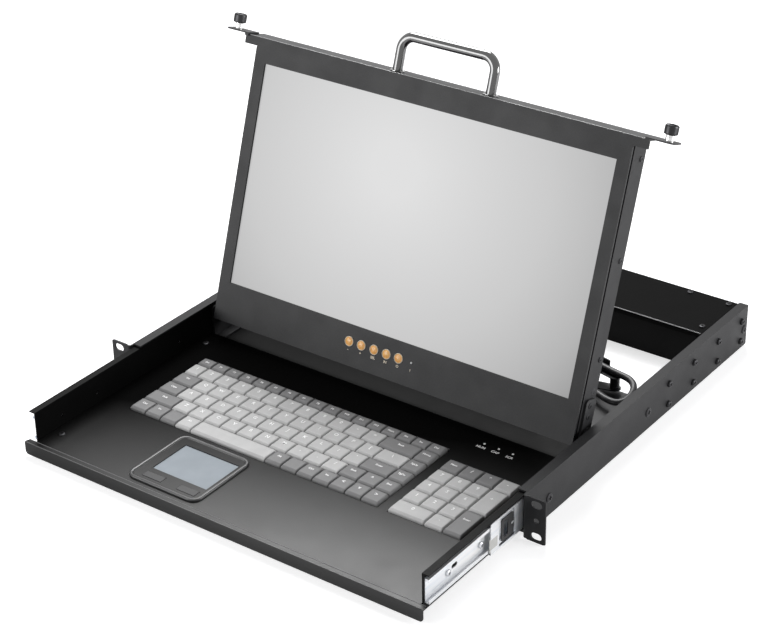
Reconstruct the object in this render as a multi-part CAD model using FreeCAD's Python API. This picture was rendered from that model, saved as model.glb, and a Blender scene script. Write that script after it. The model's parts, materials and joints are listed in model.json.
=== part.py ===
import FreeCAD, Part
import math
import os

# A rack-mounted console drawer: a slide-out tray with a keyboard and a flip-up screen.
# Millimetres. +Z up, +X to the right of the person using it, -Y towards that person.
# The origin is the centre of the rack ear slot pattern, on the ears' front face.

# ---- rack ears and chassis ----
RACK_HOLE_SPAN = 465.1
RACK_HOLE_PITCH = 31.75
SLOT_LENGTH = 10.4
SLOT_WIDTH = 7.2
EAR_REACH = 21.1
EAR_HEIGHT = 43.7
EAR_CORNER = 2.5
LATCH_HOLE = 5.0
CHASSIS_WIDTH = 440.4
CHASSIS_HEIGHT = 42.4
CHASSIS_DEPTH = 399.0
SHEET = 1.5
BEND = 1.5
FLANGE_WIDTH = 9.5
FLANGE_START = 6.0
PAN_SHEET = 1.0
PAN_LENGTH = 242.0
BOX_START = 327.0
BOX_SHEET = 1.2
COVER_WIDTH = 418.0
BOX_LEDGE_WIDTH = 21.0
BOX_REAR_LEDGE = 9.0
COVER_APRON = 5.0
STUD_Y = (245.4, 292.6, 339.9, 386.8)
STUD_Z = (8.6, -13.0)
STUD_HEAD = (3.3, 2.6)
SLIDE_STUD_Y = (39.7, 207.8)
SLIDE_STUD_Z = -3.0
SLIDE_STUD_HEAD = (4.4, 1.2)
COVER_SCREW_X = 202.4
COVER_SCREW_Y = (339.5, 392.4)
COVER_EXTRA_SCREW = (160.0, 393.5)
COVER_SCREW_HEAD = (3.0, 1.2)
SCREW_SHANK = 1.4

# ---- inside the electronics box ----
BOARD_SHEET = 1.6
BOARD_STANDOFF = 4.0
STANDOFF_RADIUS = 2.5
STANDOFF_INSET = 5.0
INLET_X = -168.0
INLET_SIZE = (27.0, 20.0)
INLET_WALL = 2.0
INLET_PINS = ((-7.0, -2.0), (0.0, 2.0), (7.0, -2.0))
CONNECTORS = ((-96.0, 33.0), (-46.0, 33.0), (-8.0, 14.0), (16.0, 14.0), (58.0, 33.0))
CONNECTOR_HEIGHT = 11.0
CONNECTOR_DEPTH = 20.0
CABLE_HOLE_CLEARANCE = 1.2
CABLE_HOLE_OFFSET = 40.0
VENT_X = range(60, 200, 8)
VENT_WIDTH = 3.0
VENT_HALF_HEIGHT = 9.0

# ---- slides ----
SLIDE_SPACE = 6.5
SLIDE_SHEET = 0.7
SLIDE_CENTRE_Z = 1.0
OUTER_SLIDE_HEIGHT = 32.8
INNER_SLIDE_HEIGHT = 24.0
SLIDE_GAP = 0.35
OUTER_SLIDE_START = 12.0
SLIDE_BACK_GAP = 1.0
MIDDLE_SLIDE_START = -46.0
MIDDLE_SLIDE_LENGTH = 300.0
INNER_SLIDE_START = -133.0
INNER_SLIDE_LENGTH = 293.0
SLIDE_LIP = 3.0
BALL_RADIUS = 1.0
CAGE_START = -5.0
CAGE_LENGTH = 120.0
LEVER_LENGTH = 19.0
LEVER_HEIGHT = 22.0
LEVER_PIN = 1.2
LEVER_WINDOW_START = 12.5
LEVER_WINDOW_LENGTH = 23.0
RETAINER_LENGTH = 14.0
RETAINER_Z = (-9.0, 1.0)

# ---- tray, deck and front lip ----
TRAY_FRONT = -135.0
TRAY_REAR = 162.0
TRAY_SHEET = 1.0
WALL_TOP = 18.8
TRAY_BOTTOM = -18.3
WALL_FLANGE = 5.8
LIP_FACE = -144.2
LIP_WIDTH = 436.6
LIP_TOP = -8.7
LIP_BOTTOM = -21.2
LEDGE_DEPTH = 6.0
DECK_TOP = -10.2
DECK_REAR = 106.0
DECK_SCREW_X = 201.0
DECK_SCREW_Y = (-114.4, 86.4)
DECK_SCREW_HEAD = (3.2, 1.1)
TRAY_SCREW_Y = (-102.0, -55.0, 60.0, 130.0)
TRAY_SCREW_Z = 0.5
TRAY_SCREW_HEAD = (3.1, 2.2)

# ---- keyboard ----
KEY_TOP = -7.0
KEY_HEIGHT = 5.5
KEY_TRAVEL = 1.5
KEY_GAP = 0.9
KEY_PITCH = 19.1
KEYS_LEFT = -180.0
KEYS_FRONT = -46.8
ROW_PITCH = 18.9
TOP_ROW_DEPTH = 13.4
TOP_ROW_KEYS = 17
NAV_PITCH = 17.6
NUMPAD_LEFT = 113.0
NUMPAD_PITCH = 18.7
KEY_STEM = 6.0
BASE_SHEET = 1.0
BASE_TOP = -15.3
KEYBOARD_MARGIN = 2.0
KEY_BEVEL = 1.0
KEY_FRONT_BEVEL = 2.6
KEY_CROWN = 1.9
STEM_REACH = 0.2
MAIN_KEYS = 13.84
KEY_ROWS = {
    2: [0.84] + [1.0] * 11 + [2.0],
    3: [1.3] + [1.0] * 11 + [1.54],
    4: [1.2] + [1.0] * 11 + [1.64],
    5: [1.75] + [1.0] * 10 + [1.09, 1.0],
    6: [0.95] * 4 + [4.51] + [0.9217] * 6,
}
NUMPAD_KEYS = [(0, 4, 1, 1), (1, 4, 1, 1), (2, 4, 1, 1), (3, 4, 1, 1), (0, 3, 1, 1), (1, 3, 1, 1),
               (2, 3, 1, 1), (3, 2, 1, 2), (0, 2, 1, 1), (1, 2, 1, 1), (2, 2, 1, 1), (0, 1, 1, 1),
               (1, 1, 1, 1), (2, 1, 1, 1), (3, 0, 1, 2), (0, 0, 2, 1), (2, 0, 1, 1)]

# ---- touchpad and lamps on the deck ----
TOUCHPAD_X = (-107.0, -29.0)
TOUCHPAD_Y = (-131.0, -54.5)
TOUCHPAD_RISE = 1.6
TOUCHPAD_CORNER = 8.0
TOUCH_SURFACE_X = (-95.0, -33.4)
TOUCH_SURFACE_Y = (-110.9, -65.8)
TOUCH_BUTTONS_X = ((-94.5, -73.6), (-55.6, -35.4))
TOUCH_BUTTON_Y = (-125.0, -117.0)
TOUCH_BUTTON_TRAVEL = 0.6
TOUCH_NECK = -3.0
TOUCH_BOTTOM = -15.0
LAMP_X = (122.1, 137.3, 152.2)
LAMP_Y = 88.5
LAMP_RADIUS = 1.0
LAMP_HEIGHT = 3.2

# ---- screen ----
HINGE_Y = 123.3
HINGE_Z = 12.5
HINGE_V = -30.0
HINGE_W = -18.7
HINGE_PIN = 3.0
SCREEN_LEAN = 18.41
SCREEN_WIDTH = 381.9
SCREEN_HEIGHT = 214.4
BEZEL_WIDTH = 407.2
BEZEL_TOP = 229.0
BEZEL_BOTTOM = -39.0
BEZEL_SHEET = 2.0
BEZEL_BAND = 2.5
HOUSING_DEPTH = 26.4
HOUSING_SHEET = 1.2
MODULE_DEPTH = 9.0
PANEL_WIDTH = 436.0
PANEL_FACE = 237.5
PANEL_DEPTH = 28.1
PANEL_SHEET = 1.2
TAB_FACE = 239.5
TAB_HEIGHT = 16.8
TAB_CENTRE_W = -6.2
HANDLE_HALF_SPAN = 50.6
HANDLE_DIAMETER = 9.8
HANDLE_TOP = 276.0
HANDLE_BEND = 13.0
HANDLE_W = -12.0
KNOB_RADIUS = 6.0
KNOB_LENGTH = 8.5
COLLAR_RADIUS = 3.9
COLLAR_LENGTH = 5.5
KNOB_SHAFT = 2.0
OSD_BUTTONS_U = (-43.6, -29.6, -15.1, -1.0, 12.7)
OSD_LAMP_U = 27.1
OSD_V = -15.9
OSD_RADIUS = 4.1
OSD_TRAVEL = 0.8
SIDE_SCREW_V = (216.5, 126.4, 37.2)
FLUSH_SCREW_V = 7.5
SIDE_SCREW_W = -20.0
LEAF_SHEET = 2.0
LEAF_SCREW_V = (-14.0, -4.0)
LEAF_SCREW_W = -15.0
MODULE_MARGIN = 6.0

# ---- cable arm ----
ARM_PIVOT_X = -157.0
ARM_BOX_Y = 314.5
ARM_TRAY_Y = 170.5
ARM_LENGTH = 330.0
ARM_WIDTH = 12.0
ARM_REAR_Z = (-1.0, 9.0)
ARM_FRONT_Z = (-14.0, -4.0)
ARM_SHEET = 1.0
ARM_PIN = 3.0
ARM_PLAY = 4.6
ARM_CABLE_ENTRY = 84.0
CABLE_RADIUS = 3.2
CABLE_START = 14.0
CABLE_END = 18.0
ELBOW_SHOULDER = 4.6

# ---- clearances ----
RUNNING = 0.05
LOOSE = 0.3
SNUG = 0.1

Vector = FreeCAD.Vector
side_out = CHASSIS_WIDTH / 2
side_in = side_out - SHEET
ear_half = side_out + EAR_REACH
chassis_top = CHASSIS_HEIGHT / 2
wall_out = side_in - SLIDE_SPACE
wall_in = wall_out - TRAY_SHEET
floor_top = TRAY_BOTTOM + TRAY_SHEET
key_bottom = KEY_TOP - KEY_HEIGHT
main_right = KEYS_LEFT + MAIN_KEYS * KEY_PITCH
keys_right = main_right + NAV_PITCH
keys_back = KEYS_FRONT + 5 * ROW_PITCH + TOP_ROW_DEPTH
numpad_right = NUMPAD_LEFT + 4 * NUMPAD_PITCH
numpad_back = KEYS_FRONT + 5 * ROW_PITCH
key_blocks = ((KEYS_LEFT, keys_right, keys_back), (NUMPAD_LEFT, numpad_right, numpad_back))
bezel_half = BEZEL_WIDTH / 2
knob_u = RACK_HOLE_SPAN / 2
box_floor = -chassis_top + SHEET
box_top = chassis_top - SHEET - 0.2
arm_drop = (ARM_BOX_Y - ARM_TRAY_Y) / 2
elbow_x = ARM_PIVOT_X + math.sqrt(ARM_LENGTH ** 2 - arm_drop ** 2)
elbow_y = ARM_BOX_Y - arm_drop
box_pivot = (ARM_PIVOT_X, ARM_BOX_Y)
tray_pivot = (ARM_PIVOT_X, ARM_TRAY_Y)
elbow = (elbow_x, elbow_y)
arm_rear_mid = sum(ARM_REAR_Z) / 2
arm_front_mid = sum(ARM_FRONT_Z) / 2
cable_hole_radius = CABLE_RADIUS + CABLE_HOLE_CLEARANCE
cable_hole_x = ARM_PIVOT_X + CABLE_HOLE_OFFSET
pan_end = FLANGE_START + PAN_LENGTH
board_bottom = box_floor + BOX_SHEET + BOARD_STANDOFF
cover_screws = [(x, y) for x in (-COVER_SCREW_X, COVER_SCREW_X) for y in COVER_SCREW_Y] + [COVER_EXTRA_SCREW]
outer_web = (side_in - SLIDE_SHEET, side_in)
middle_web = (outer_web[0] - SLIDE_GAP - SLIDE_SHEET, outer_web[0] - SLIDE_GAP)
inner_web = (wall_out, wall_out + SLIDE_SHEET)
middle_height = OUTER_SLIDE_HEIGHT - 2 * SLIDE_SHEET - 2 * SLIDE_GAP
slide_flange_end = inner_web[1] + SLIDE_GAP
inner_flange_end = middle_web[0] - SLIDE_GAP
lever_window_start = MIDDLE_SLIDE_START + LEVER_WINDOW_START
lever_window = (lever_window_start, lever_window_start + LEVER_WINDOW_LENGTH)
lever_pivot = (lever_window[1] - 3.5, SLIDE_CENTRE_Z)
lamp_seat = DECK_TOP - LAMP_HEIGHT
leaf_x = (bezel_half + SNUG, bezel_half + SNUG + LEAF_SHEET)


# ---- helpers ----
def box(x, y, z):
    """Block between (low, high) pairs."""
    return Part.makeBox(x[1] - x[0], y[1] - y[0], z[1] - z[0], Vector(x[0], y[0], z[0]))


def rod(radius, start, end):
    """Round bar between two points."""
    along = Vector(*end) - Vector(*start)
    return Part.makeCylinder(radius, along.Length, Vector(*start), along)


def tube(outer, inner, start, end):
    return rod(outer, start, end).cut(rod(inner, start, end))


def join(shapes):
    return shapes[0].fuse(shapes[1:]).removeSplitter()


def group(shapes):
    return Part.makeCompound(shapes)


def mirrored(shape):
    """The same piece on the other side of the middle plane x = 0."""
    return shape.mirror(Vector(0, 0, 0), Vector(1, 0, 0))


def both_sides(shape):
    return [shape, mirrored(shape)]


def edges_along(shape, axis, keep=lambda middle: True):
    """Straight edges parallel to an axis vector whose middle point passes the test."""
    found = []
    for edge in shape.Edges:
        ends = [vertex.Point for vertex in edge.Vertexes]
        if len(ends) < 2 or not isinstance(edge.Curve, Part.Line):
            continue
        direction = (ends[1] - ends[0]).normalize()
        if abs(abs(direction.dot(axis)) - 1) < 1e-6 and keep((ends[0] + ends[1]) / 2):
            found.append(edge)
    return found


def rounded(shape, radius, axis, keep=lambda middle: True):
    return shape.makeFillet(radius, edges_along(shape, axis, keep))


def rounded_plate(x, y, z, radius):
    """Flat block with rounded upright edges."""
    return rounded(box(x, y, z), radius, Vector(0, 0, 1))


def save(name, shape):
    shape.exportStep("parts/" + name + ".step")


def on_screen(shape):
    """Moves a piece drawn flat on the screen's own axes (u, v, w) to its open position."""
    turn = FreeCAD.Rotation(Vector(1, 0, 0), 90 - SCREEN_LEAN)
    origin = Vector(0, HINGE_Y, HINGE_Z) - turn.multVec(Vector(0, HINGE_V, HINGE_W))
    moved = shape.copy()
    moved.Placement = FreeCAD.Placement(origin, turn).multiply(moved.Placement)
    return moved


def screw(head_radius, head_height, shank_radius, shank_length, place, outward):
    """Pan-head screw whose head sits on the surface at place; its axis points outward."""
    out = Vector(*outward)
    at = Vector(*place)
    head = Part.makeCylinder(head_radius, head_height, at, out)
    shank = Part.makeCylinder(shank_radius, shank_length, at - out * shank_length, out)
    recess = Part.makeCylinder(head_radius * 0.45, head_height * 0.6, at + out * head_height * 0.4, out)
    return head.fuse(shank).removeSplitter().cut(recess)


# ---- chassis ----
def side_holes():
    """Screw holes through the right side sheet and what is fastened inside it."""
    reach = side_in - 5
    holes = [rod(SCREW_SHANK + SNUG, (reach, y, z), (side_out + 1, y, z)) for y in STUD_Y for z in STUD_Z]
    holes += [rod(SCREW_SHANK + SNUG, (reach, y, SLIDE_STUD_Z), (side_out + 1, y, SLIDE_STUD_Z))
              for y in SLIDE_STUD_Y]
    return holes


def chassis_side():
    """Right side sheet, folded into flanges above and below and into the rack ear in front."""
    wall = box((side_in, side_out), (0, CHASSIS_DEPTH), (-chassis_top, chassis_top))
    ear = box((side_in, ear_half), (0, SHEET), (-chassis_top, chassis_top))
    angle = join([wall, ear])
    front = edges_along(angle, Vector(0, 0, 1), lambda p: abs(p.x - side_in) < 0.01 and p.y < 0.01)
    angle = angle.makeFillet(SHEET + BEND, front)
    crook = edges_along(angle, Vector(0, 0, 1), lambda p: abs(p.x - side_out) < 0.01 and p.y < 9)
    angle = angle.makeFillet(BEND, crook)
    plate = box((side_out + 2 * BEND, ear_half), (0, SHEET), (-EAR_HEIGHT / 2, EAR_HEIGHT / 2))
    plate = rounded(plate, EAR_CORNER, Vector(0, 1, 0), lambda p: p.x > ear_half - 1)
    flanges = []
    for z in ((chassis_top - SHEET, chassis_top), (-chassis_top, SHEET - chassis_top)):
        flanges.append(box((side_out - FLANGE_WIDTH, side_out), (FLANGE_START, CHASSIS_DEPTH), z))
    side = join([angle, plate] + flanges)
    cuts = side_holes()
    half_slot = (SLOT_LENGTH - SLOT_WIDTH) / 2
    for z in (-RACK_HOLE_PITCH / 2, RACK_HOLE_PITCH / 2):
        cuts.append(box((knob_u - half_slot, knob_u + half_slot), (-1, SHEET + 1),
                        (z - SLOT_WIDTH / 2, z + SLOT_WIDTH / 2)))
        for x in (knob_u - half_slot, knob_u + half_slot):
            cuts.append(rod(SLOT_WIDTH / 2, (x, -1, z), (x, SHEET + 1, z)))
    cuts.append(rod(LATCH_HOLE / 2, (knob_u, -1, 0), (knob_u, SHEET + 1, 0)))
    return side.cut(cuts)


def bottom_pan():
    """Sheet under the drawer, resting on the side sheets' bottom flanges."""
    half = side_in - 0.2
    top = box_floor + PAN_SHEET
    fold_half = side_out - FLANGE_WIDTH - LOOSE
    pan = box((-half, half), (FLANGE_START, pan_end), (box_floor, top))
    folds = [box((-fold_half, fold_half), (y, y + PAN_SHEET), (-chassis_top, top))
             for y in (FLANGE_START, pan_end - PAN_SHEET)]
    return join([pan] + folds)


def rear_box_base():
    """Electronics box behind the drawer bay: floor, front and rear walls, side walls with ledges."""
    t = BOX_SHEET
    back = CHASSIS_DEPTH
    floor = box((-side_in, side_in), (BOX_START, back), (box_floor, box_floor + t))
    front = box((-side_in, side_in), (BOX_START, BOX_START + t), (box_floor, box_top - t))
    rear = box((-side_in, side_in), (back - t, back), (box_floor, box_top - t))
    sides = both_sides(box((side_in - t, side_in), (BOX_START, back), (box_floor, box_top - t)))
    ledges = both_sides(box((side_in - t - BOX_LEDGE_WIDTH, side_in - t), (BOX_START, back),
                            (box_top - 2 * t, box_top - t)))
    rear_ledge = box((-side_in, side_in), (back - t - BOX_REAR_LEDGE, back), (box_top - 2 * t, box_top - t))
    base = join([floor, front, rear, rear_ledge] + sides + ledges)
    cuts = [rod(SCREW_SHANK + SNUG, (x, y, box_top - 6), (x, y, chassis_top)) for x, y in cover_screws]
    cuts.append(box((INLET_X - INLET_SIZE[0] / 2 - SNUG, INLET_X + INLET_SIZE[0] / 2 + SNUG),
                    (back - 3, back + 1), (-INLET_SIZE[1] / 2 - SNUG, INLET_SIZE[1] / 2 + SNUG)))
    for x, width in CONNECTORS:
        cuts.append(box((x - width / 2 - SNUG, x + width / 2 + SNUG), (back - 3, back + 1),
                        (-CONNECTOR_HEIGHT / 2 - SNUG, CONNECTOR_HEIGHT / 2 + SNUG)))
    cuts.append(rod(cable_hole_radius, (cable_hole_x, BOX_START - 1, arm_rear_mid),
                    (cable_hole_x, BOX_START + 3, arm_rear_mid)))
    for x in VENT_X:
        cuts.append(box((x, x + VENT_WIDTH), (back - 3, back + 1), (-VENT_HALF_HEIGHT, VENT_HALF_HEIGHT)))
    holes = side_holes()
    return base.cut(cuts + holes + [mirrored(hole) for hole in holes])


def rear_box_cover():
    """Lid of the electronics box, with a folded apron over the front wall."""
    half = COVER_WIDTH / 2
    top = box_top
    lid = box((-half, half), (BOX_START - BOX_SHEET, CHASSIS_DEPTH - LOOSE), (top - BOX_SHEET, top))
    apron = box((-half, half), (BOX_START - BOX_SHEET, BOX_START), (top - COVER_APRON, top))
    cover = join([lid, apron])
    cover = rounded(cover, BOX_SHEET * 0.8, Vector(1, 0, 0),
                    lambda p: p.y < BOX_START - BOX_SHEET + 0.01 and p.z > top - 0.01)
    return cover.cut([rod(SCREW_SHANK + SNUG, (x, y, top - 3), (x, y, top + 1)) for x, y in cover_screws])


def chassis_screws():
    """Screws through the sides and the box cover."""
    right = []
    for y in STUD_Y:
        inner_sheet = BOX_SHEET if y > BOX_START else SLIDE_SHEET
        right += [screw(*STUD_HEAD, SCREW_SHANK, SHEET + inner_sheet, (side_out, y, z), (1, 0, 0))
                  for z in STUD_Z]
    right += [screw(*SLIDE_STUD_HEAD, SCREW_SHANK, SHEET + SLIDE_SHEET, (side_out, y, SLIDE_STUD_Z),
                    (1, 0, 0)) for y in SLIDE_STUD_Y]
    top = [screw(*COVER_SCREW_HEAD, SCREW_SHANK, 2 * BOX_SHEET, (x, y, box_top), (0, 0, 1))
           for x, y in cover_screws]
    return group(right + [mirrored(one) for one in right] + top)


def circuit_board(x, y, bottom, standoff, parts):
    """Board on four standoffs with block-shaped parts soldered on top."""
    top = bottom + BOARD_SHEET
    pieces = [box(x, y, (bottom, top))]
    for px in (x[0] + STANDOFF_INSET, x[1] - STANDOFF_INSET):
        for py in (y[0] + STANDOFF_INSET, y[1] - STANDOFF_INSET):
            pieces.append(rod(STANDOFF_RADIUS, (px, py, bottom - standoff), (px, py, bottom)))
    for cx, cy, width, depth, height in parts:
        pieces.append(box((cx - width / 2, cx + width / 2), (cy - depth / 2, cy + depth / 2),
                          (top, top + height)))
    return join(pieces)


def power_supply():
    """Open-frame supply behind the power inlet."""
    y = BOX_START + 34
    return circuit_board((-205, -125), (BOX_START + 6, BOX_START + 46), board_bottom, BOARD_STANDOFF,
                         [(-185, y - 8, 24, 22, 18), (-155, y - 10, 10, 22, 20), (-140, y, 14, 14, 16)])


def switch_board():
    """Signal board that carries the rear connectors."""
    y = BOX_START + 30
    chips = [(-70, y, 22, 22, 2), (-20, y, 16, 16, 2), (30, y - 4, 28, 28, 2.4), (80, y, 12, 20, 6)]
    return circuit_board((-115, 105), (BOX_START + 8, CHASSIS_DEPTH - CONNECTOR_DEPTH), board_bottom,
                         BOARD_STANDOFF, chips)


def rear_connectors():
    """Plain connector shells that stand in the rear wall and reach their board."""
    shells = []
    board_top = board_bottom + BOARD_SHEET
    inner_end = CHASSIS_DEPTH - CONNECTOR_DEPTH
    for x, width in CONNECTORS:
        body = box((x - width / 2, x + width / 2), (inner_end, CHASSIS_DEPTH + 1.5),
                   (-CONNECTOR_HEIGHT / 2, CONNECTOR_HEIGHT / 2))
        foot = box((x - width / 2, x + width / 2), (inner_end - 8, inner_end + 1),
                   (board_top, CONNECTOR_HEIGHT / 2))
        mouth = box((x - width / 2 + 1.5, x + width / 2 - 1.5), (CHASSIS_DEPTH - 2.5, CHASSIS_DEPTH + 2),
                    (1.5 - CONNECTOR_HEIGHT / 2, CONNECTOR_HEIGHT / 2 - 1.5))
        shells.append(body.fuse(foot).removeSplitter().cut(mouth))
    return group(shells)


def power_inlet():
    """Three-pin mains inlet: moulded body, flange and pins."""
    half, tall = INLET_SIZE[0] / 2, INLET_SIZE[1] / 2
    back = CHASSIS_DEPTH
    body = box((INLET_X - half, INLET_X + half), (back - 20, back + 2), (-tall, tall))
    flange = box((INLET_X - half - 9, INLET_X + half + 9), (back, back + 2), (-tall - 1, tall + 1))
    mouth = box((INLET_X - half + INLET_WALL, INLET_X + half - INLET_WALL), (back - 15, back + 3),
                (INLET_WALL - tall, tall - INLET_WALL))
    pins = [box((INLET_X + x - 1, INLET_X + x + 1), (back - 16, back - 2), (z - 2, z + 2))
            for x, z in INLET_PINS]
    return join([join([body, flange]).cut(mouth)] + pins)


# ---- slides ----
def slide_member(web, flange_end, height, y):
    """Channel-shaped slide member on the right: web is its x range, flanges reach flange_end."""
    z = (SLIDE_CENTRE_Z - height / 2, SLIDE_CENTRE_Z + height / 2)
    x = (min(web[0], flange_end), max(web[1], flange_end))
    hollow = (x[0] - 1, web[0]) if flange_end < web[0] else (web[1], x[1] + 1)
    return box(x, y, z).cut(box(hollow, (y[0] - 1, y[1] + 1), (z[0] + SLIDE_SHEET, z[1] - SLIDE_SHEET)))


def outer_slide():
    """Cabinet member, fixed to the side sheet."""
    y = (OUTER_SLIDE_START, BOX_START - SLIDE_BACK_GAP)
    return slide_member(outer_web, slide_flange_end, OUTER_SLIDE_HEIGHT, y).cut(side_holes())


def middle_slide():
    """Middle member with a window for the release lever and a bridge that holds its pin."""
    y = (MIDDLE_SLIDE_START, MIDDLE_SLIDE_START + MIDDLE_SLIDE_LENGTH)
    member = slide_member(middle_web, slide_flange_end + SLIDE_GAP, middle_height, y)
    half = LEVER_HEIGHT / 2 + 2.6
    wide = (middle_web[0] - 1, middle_web[1] + 1)
    window = box(wide, lever_window, (SLIDE_CENTRE_Z - half, SLIDE_CENTRE_Z + half))
    notch = box(wide, (y[0] - 1, y[0] + RETAINER_LENGTH - 4), RETAINER_Z)
    bridge = box(middle_web, (lever_window[1] - 7, lever_window[1]), (-LEVER_PIN - 1, LEVER_PIN + 3))
    pin = rod(LEVER_PIN, (middle_web[0], *lever_pivot), (middle_web[1], *lever_pivot))
    return join([member.cut([window, notch, bridge]), pin.fuse(lever_bridge())])


def lever_bridge():
    """Thin arm from the window's rear edge to the lever's pin."""
    y, z = lever_pivot
    return box(middle_web, (y, lever_window[1] + 1), (z - 0.5, z + 0.5))


def release_lever():
    """Sprung plastic lever in the middle member's window."""
    y, z = lever_pivot
    half = LEVER_HEIGHT / 2
    plate = box(middle_web, (y - LEVER_LENGTH + 3, y + 2.4), (z - half, z + half))
    plate = rounded(plate, 2.5, Vector(1, 0, 0))
    wide = (middle_web[0] - 1, middle_web[1] + 1)
    finger_hole = rounded(box(wide, (y - LEVER_LENGTH + 6, y - 6), (z - half + 3, z + half - 3)),
                          2.0, Vector(1, 0, 0))
    bore = rod(LEVER_PIN + RUNNING, (wide[0], y, z), (wide[1], y, z))
    slot = box(wide, (y, y + 4), (z - 1.2, z + 1.2))
    return plate.cut([finger_hole, bore, slot])


def slide_retainers():
    """White guide blocks in the front notch of each middle member."""
    start = MIDDLE_SLIDE_START - 2
    block = box(middle_web, (start, start + RETAINER_LENGTH - 2), RETAINER_Z)
    nose = box(middle_web, (start, MIDDLE_SLIDE_START), (RETAINER_Z[0] - 2, RETAINER_Z[1] + 1))
    return group(both_sides(join([block, nose])))


def inner_slide():
    """Drawer member, fixed to the tray wall, with lips along its flanges."""
    y = (INNER_SLIDE_START, INNER_SLIDE_START + INNER_SLIDE_LENGTH)
    member = slide_member(inner_web, inner_flange_end, INNER_SLIDE_HEIGHT, y)
    half = INNER_SLIDE_HEIGHT / 2
    lips = [box((inner_flange_end - SLIDE_SHEET, inner_flange_end), y, z)
            for z in ((SLIDE_CENTRE_Z + half - SLIDE_LIP, SLIDE_CENTRE_Z + half),
                      (SLIDE_CENTRE_Z - half, SLIDE_CENTRE_Z - half + SLIDE_LIP))]
    member = join([member] + lips)
    slot_y = TRAY_SCREW_Y[0] + 10
    slot = rounded(box((inner_web[0] - 1, inner_web[1] + 1), (slot_y - 4, slot_y + 4), (0, 4)), 1.9,
                   Vector(1, 0, 0))
    return member.cut([slot] + tray_side_holes())


def tray_side_holes():
    return [rod(SCREW_SHANK + SNUG, (wall_in - 1, y, TRAY_SCREW_Z), (inner_web[1] + 1, y, TRAY_SCREW_Z))
            for y in TRAY_SCREW_Y]


def ball_cages():
    """Strips that space the steel balls between the drawer and middle members."""
    pieces = []
    inner_half = INNER_SLIDE_HEIGHT / 2
    outer_half = middle_height / 2 - SLIDE_SHEET
    middle = (inner_half + outer_half) / 2
    x = (slide_flange_end + 0.6, inner_flange_end - 0.2)
    centre_x = sum(x) / 2
    for z in (SLIDE_CENTRE_Z + middle, SLIDE_CENTRE_Z - middle):
        strip = box(x, (CAGE_START, CAGE_START + CAGE_LENGTH), (z - 0.35, z + 0.35))
        spots = [(centre_x, CAGE_START + 6 + 12 * k, z) for k in range(10)]
        holes = [rod(BALL_RADIUS + RUNNING, (a, b, c - 2), (a, b, c + 2)) for a, b, c in spots]
        pieces.append(strip.cut(holes))
        pieces += [Part.makeSphere(BALL_RADIUS, Vector(*spot)) for spot in spots]
    return group(pieces + [mirrored(piece) for piece in pieces])


# ---- tray ----
def tray_pan():
    """Drawer tray: floor, side walls with outward flanges, rear wall and deck standoffs."""
    y = (TRAY_FRONT, TRAY_REAR)
    floor = box((-wall_out, wall_out), y, (TRAY_BOTTOM, floor_top))
    walls = both_sides(box((wall_in, wall_out), y, (TRAY_BOTTOM, WALL_TOP)))
    flanges = both_sides(box((wall_in, wall_out + WALL_FLANGE), y, (WALL_TOP - TRAY_SHEET, WALL_TOP)))
    rear = box((-wall_out, wall_out), (TRAY_REAR - TRAY_SHEET, TRAY_REAR), (TRAY_BOTTOM, LIP_TOP + 18))
    posts = []
    for place in deck_screw_places():
        posts.append(tube(4.0, SCREW_SHANK + SNUG, place + (TRAY_BOTTOM,), place + (DECK_TOP - TRAY_SHEET,)))
    pan = join([floor, rear] + walls + flanges + posts)
    holes = tray_side_holes()
    cable = rod(cable_hole_radius, (cable_hole_x, TRAY_REAR - 3, arm_front_mid),
                (cable_hole_x, TRAY_REAR + 1, arm_front_mid))
    loop_gap = box((elbow_x - 30, wall_in), (TRAY_REAR - 2, TRAY_REAR + 1), (floor_top, LIP_TOP + 19))
    return pan.cut(holes + [mirrored(hole) for hole in holes] + [cable, loop_gap])


def deck_screw_places():
    return [(x, y) for x in (-DECK_SCREW_X, DECK_SCREW_X) for y in DECK_SCREW_Y]


def deck_plate():
    """Deck around the keys, stepped up at the front into the ledge and folded down into the lip."""
    t = TRAY_SHEET
    step_y = LIP_FACE + LEDGE_DEPTH
    half = LIP_WIDTH / 2
    deck_half = wall_in - 0.2
    deck = box((-deck_half, deck_half), (step_y - t, DECK_REAR), (DECK_TOP - t, DECK_TOP))
    riser = box((-deck_half, deck_half), (step_y - t, step_y), (DECK_TOP - t, LIP_TOP))
    ledge = rounded(box((-half, half), (LIP_FACE, step_y), (LIP_TOP - t, LIP_TOP)), 4.0, Vector(0, 0, 1),
                    lambda p: p.y > step_y - 1)
    face = rounded(box((-half, half), (LIP_FACE, LIP_FACE + t), (LIP_BOTTOM, LIP_TOP)), 3.5,
                   Vector(0, 1, 0), lambda p: p.z < LIP_BOTTOM + 1)
    hem = box((-half + 6, half - 6), (LIP_FACE, LIP_FACE + 4), (LIP_BOTTOM, LIP_BOTTOM + t))
    plate = join([deck, riser, ledge, face, hem])
    cuts = []
    for left, right, back in key_blocks:
        cuts.append(box((left - LOOSE, right + LOOSE), (KEYS_FRONT - LOOSE, back + LOOSE),
                        (DECK_TOP - 5, DECK_TOP + 5)))
    cuts.append(touch_block(TOUCH_NECK + SNUG, (DECK_TOP - 5, DECK_TOP + 5)))
    cuts += [rod(SCREW_SHANK + SNUG, place + (DECK_TOP - 5,), place + (DECK_TOP + 1,))
             for place in deck_screw_places()]
    cuts += [rod(LAMP_RADIUS + SNUG, (x, LAMP_Y, DECK_TOP - 5), (x, LAMP_Y, DECK_TOP + 1)) for x in LAMP_X]
    return plate.cut(cuts)


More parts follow.
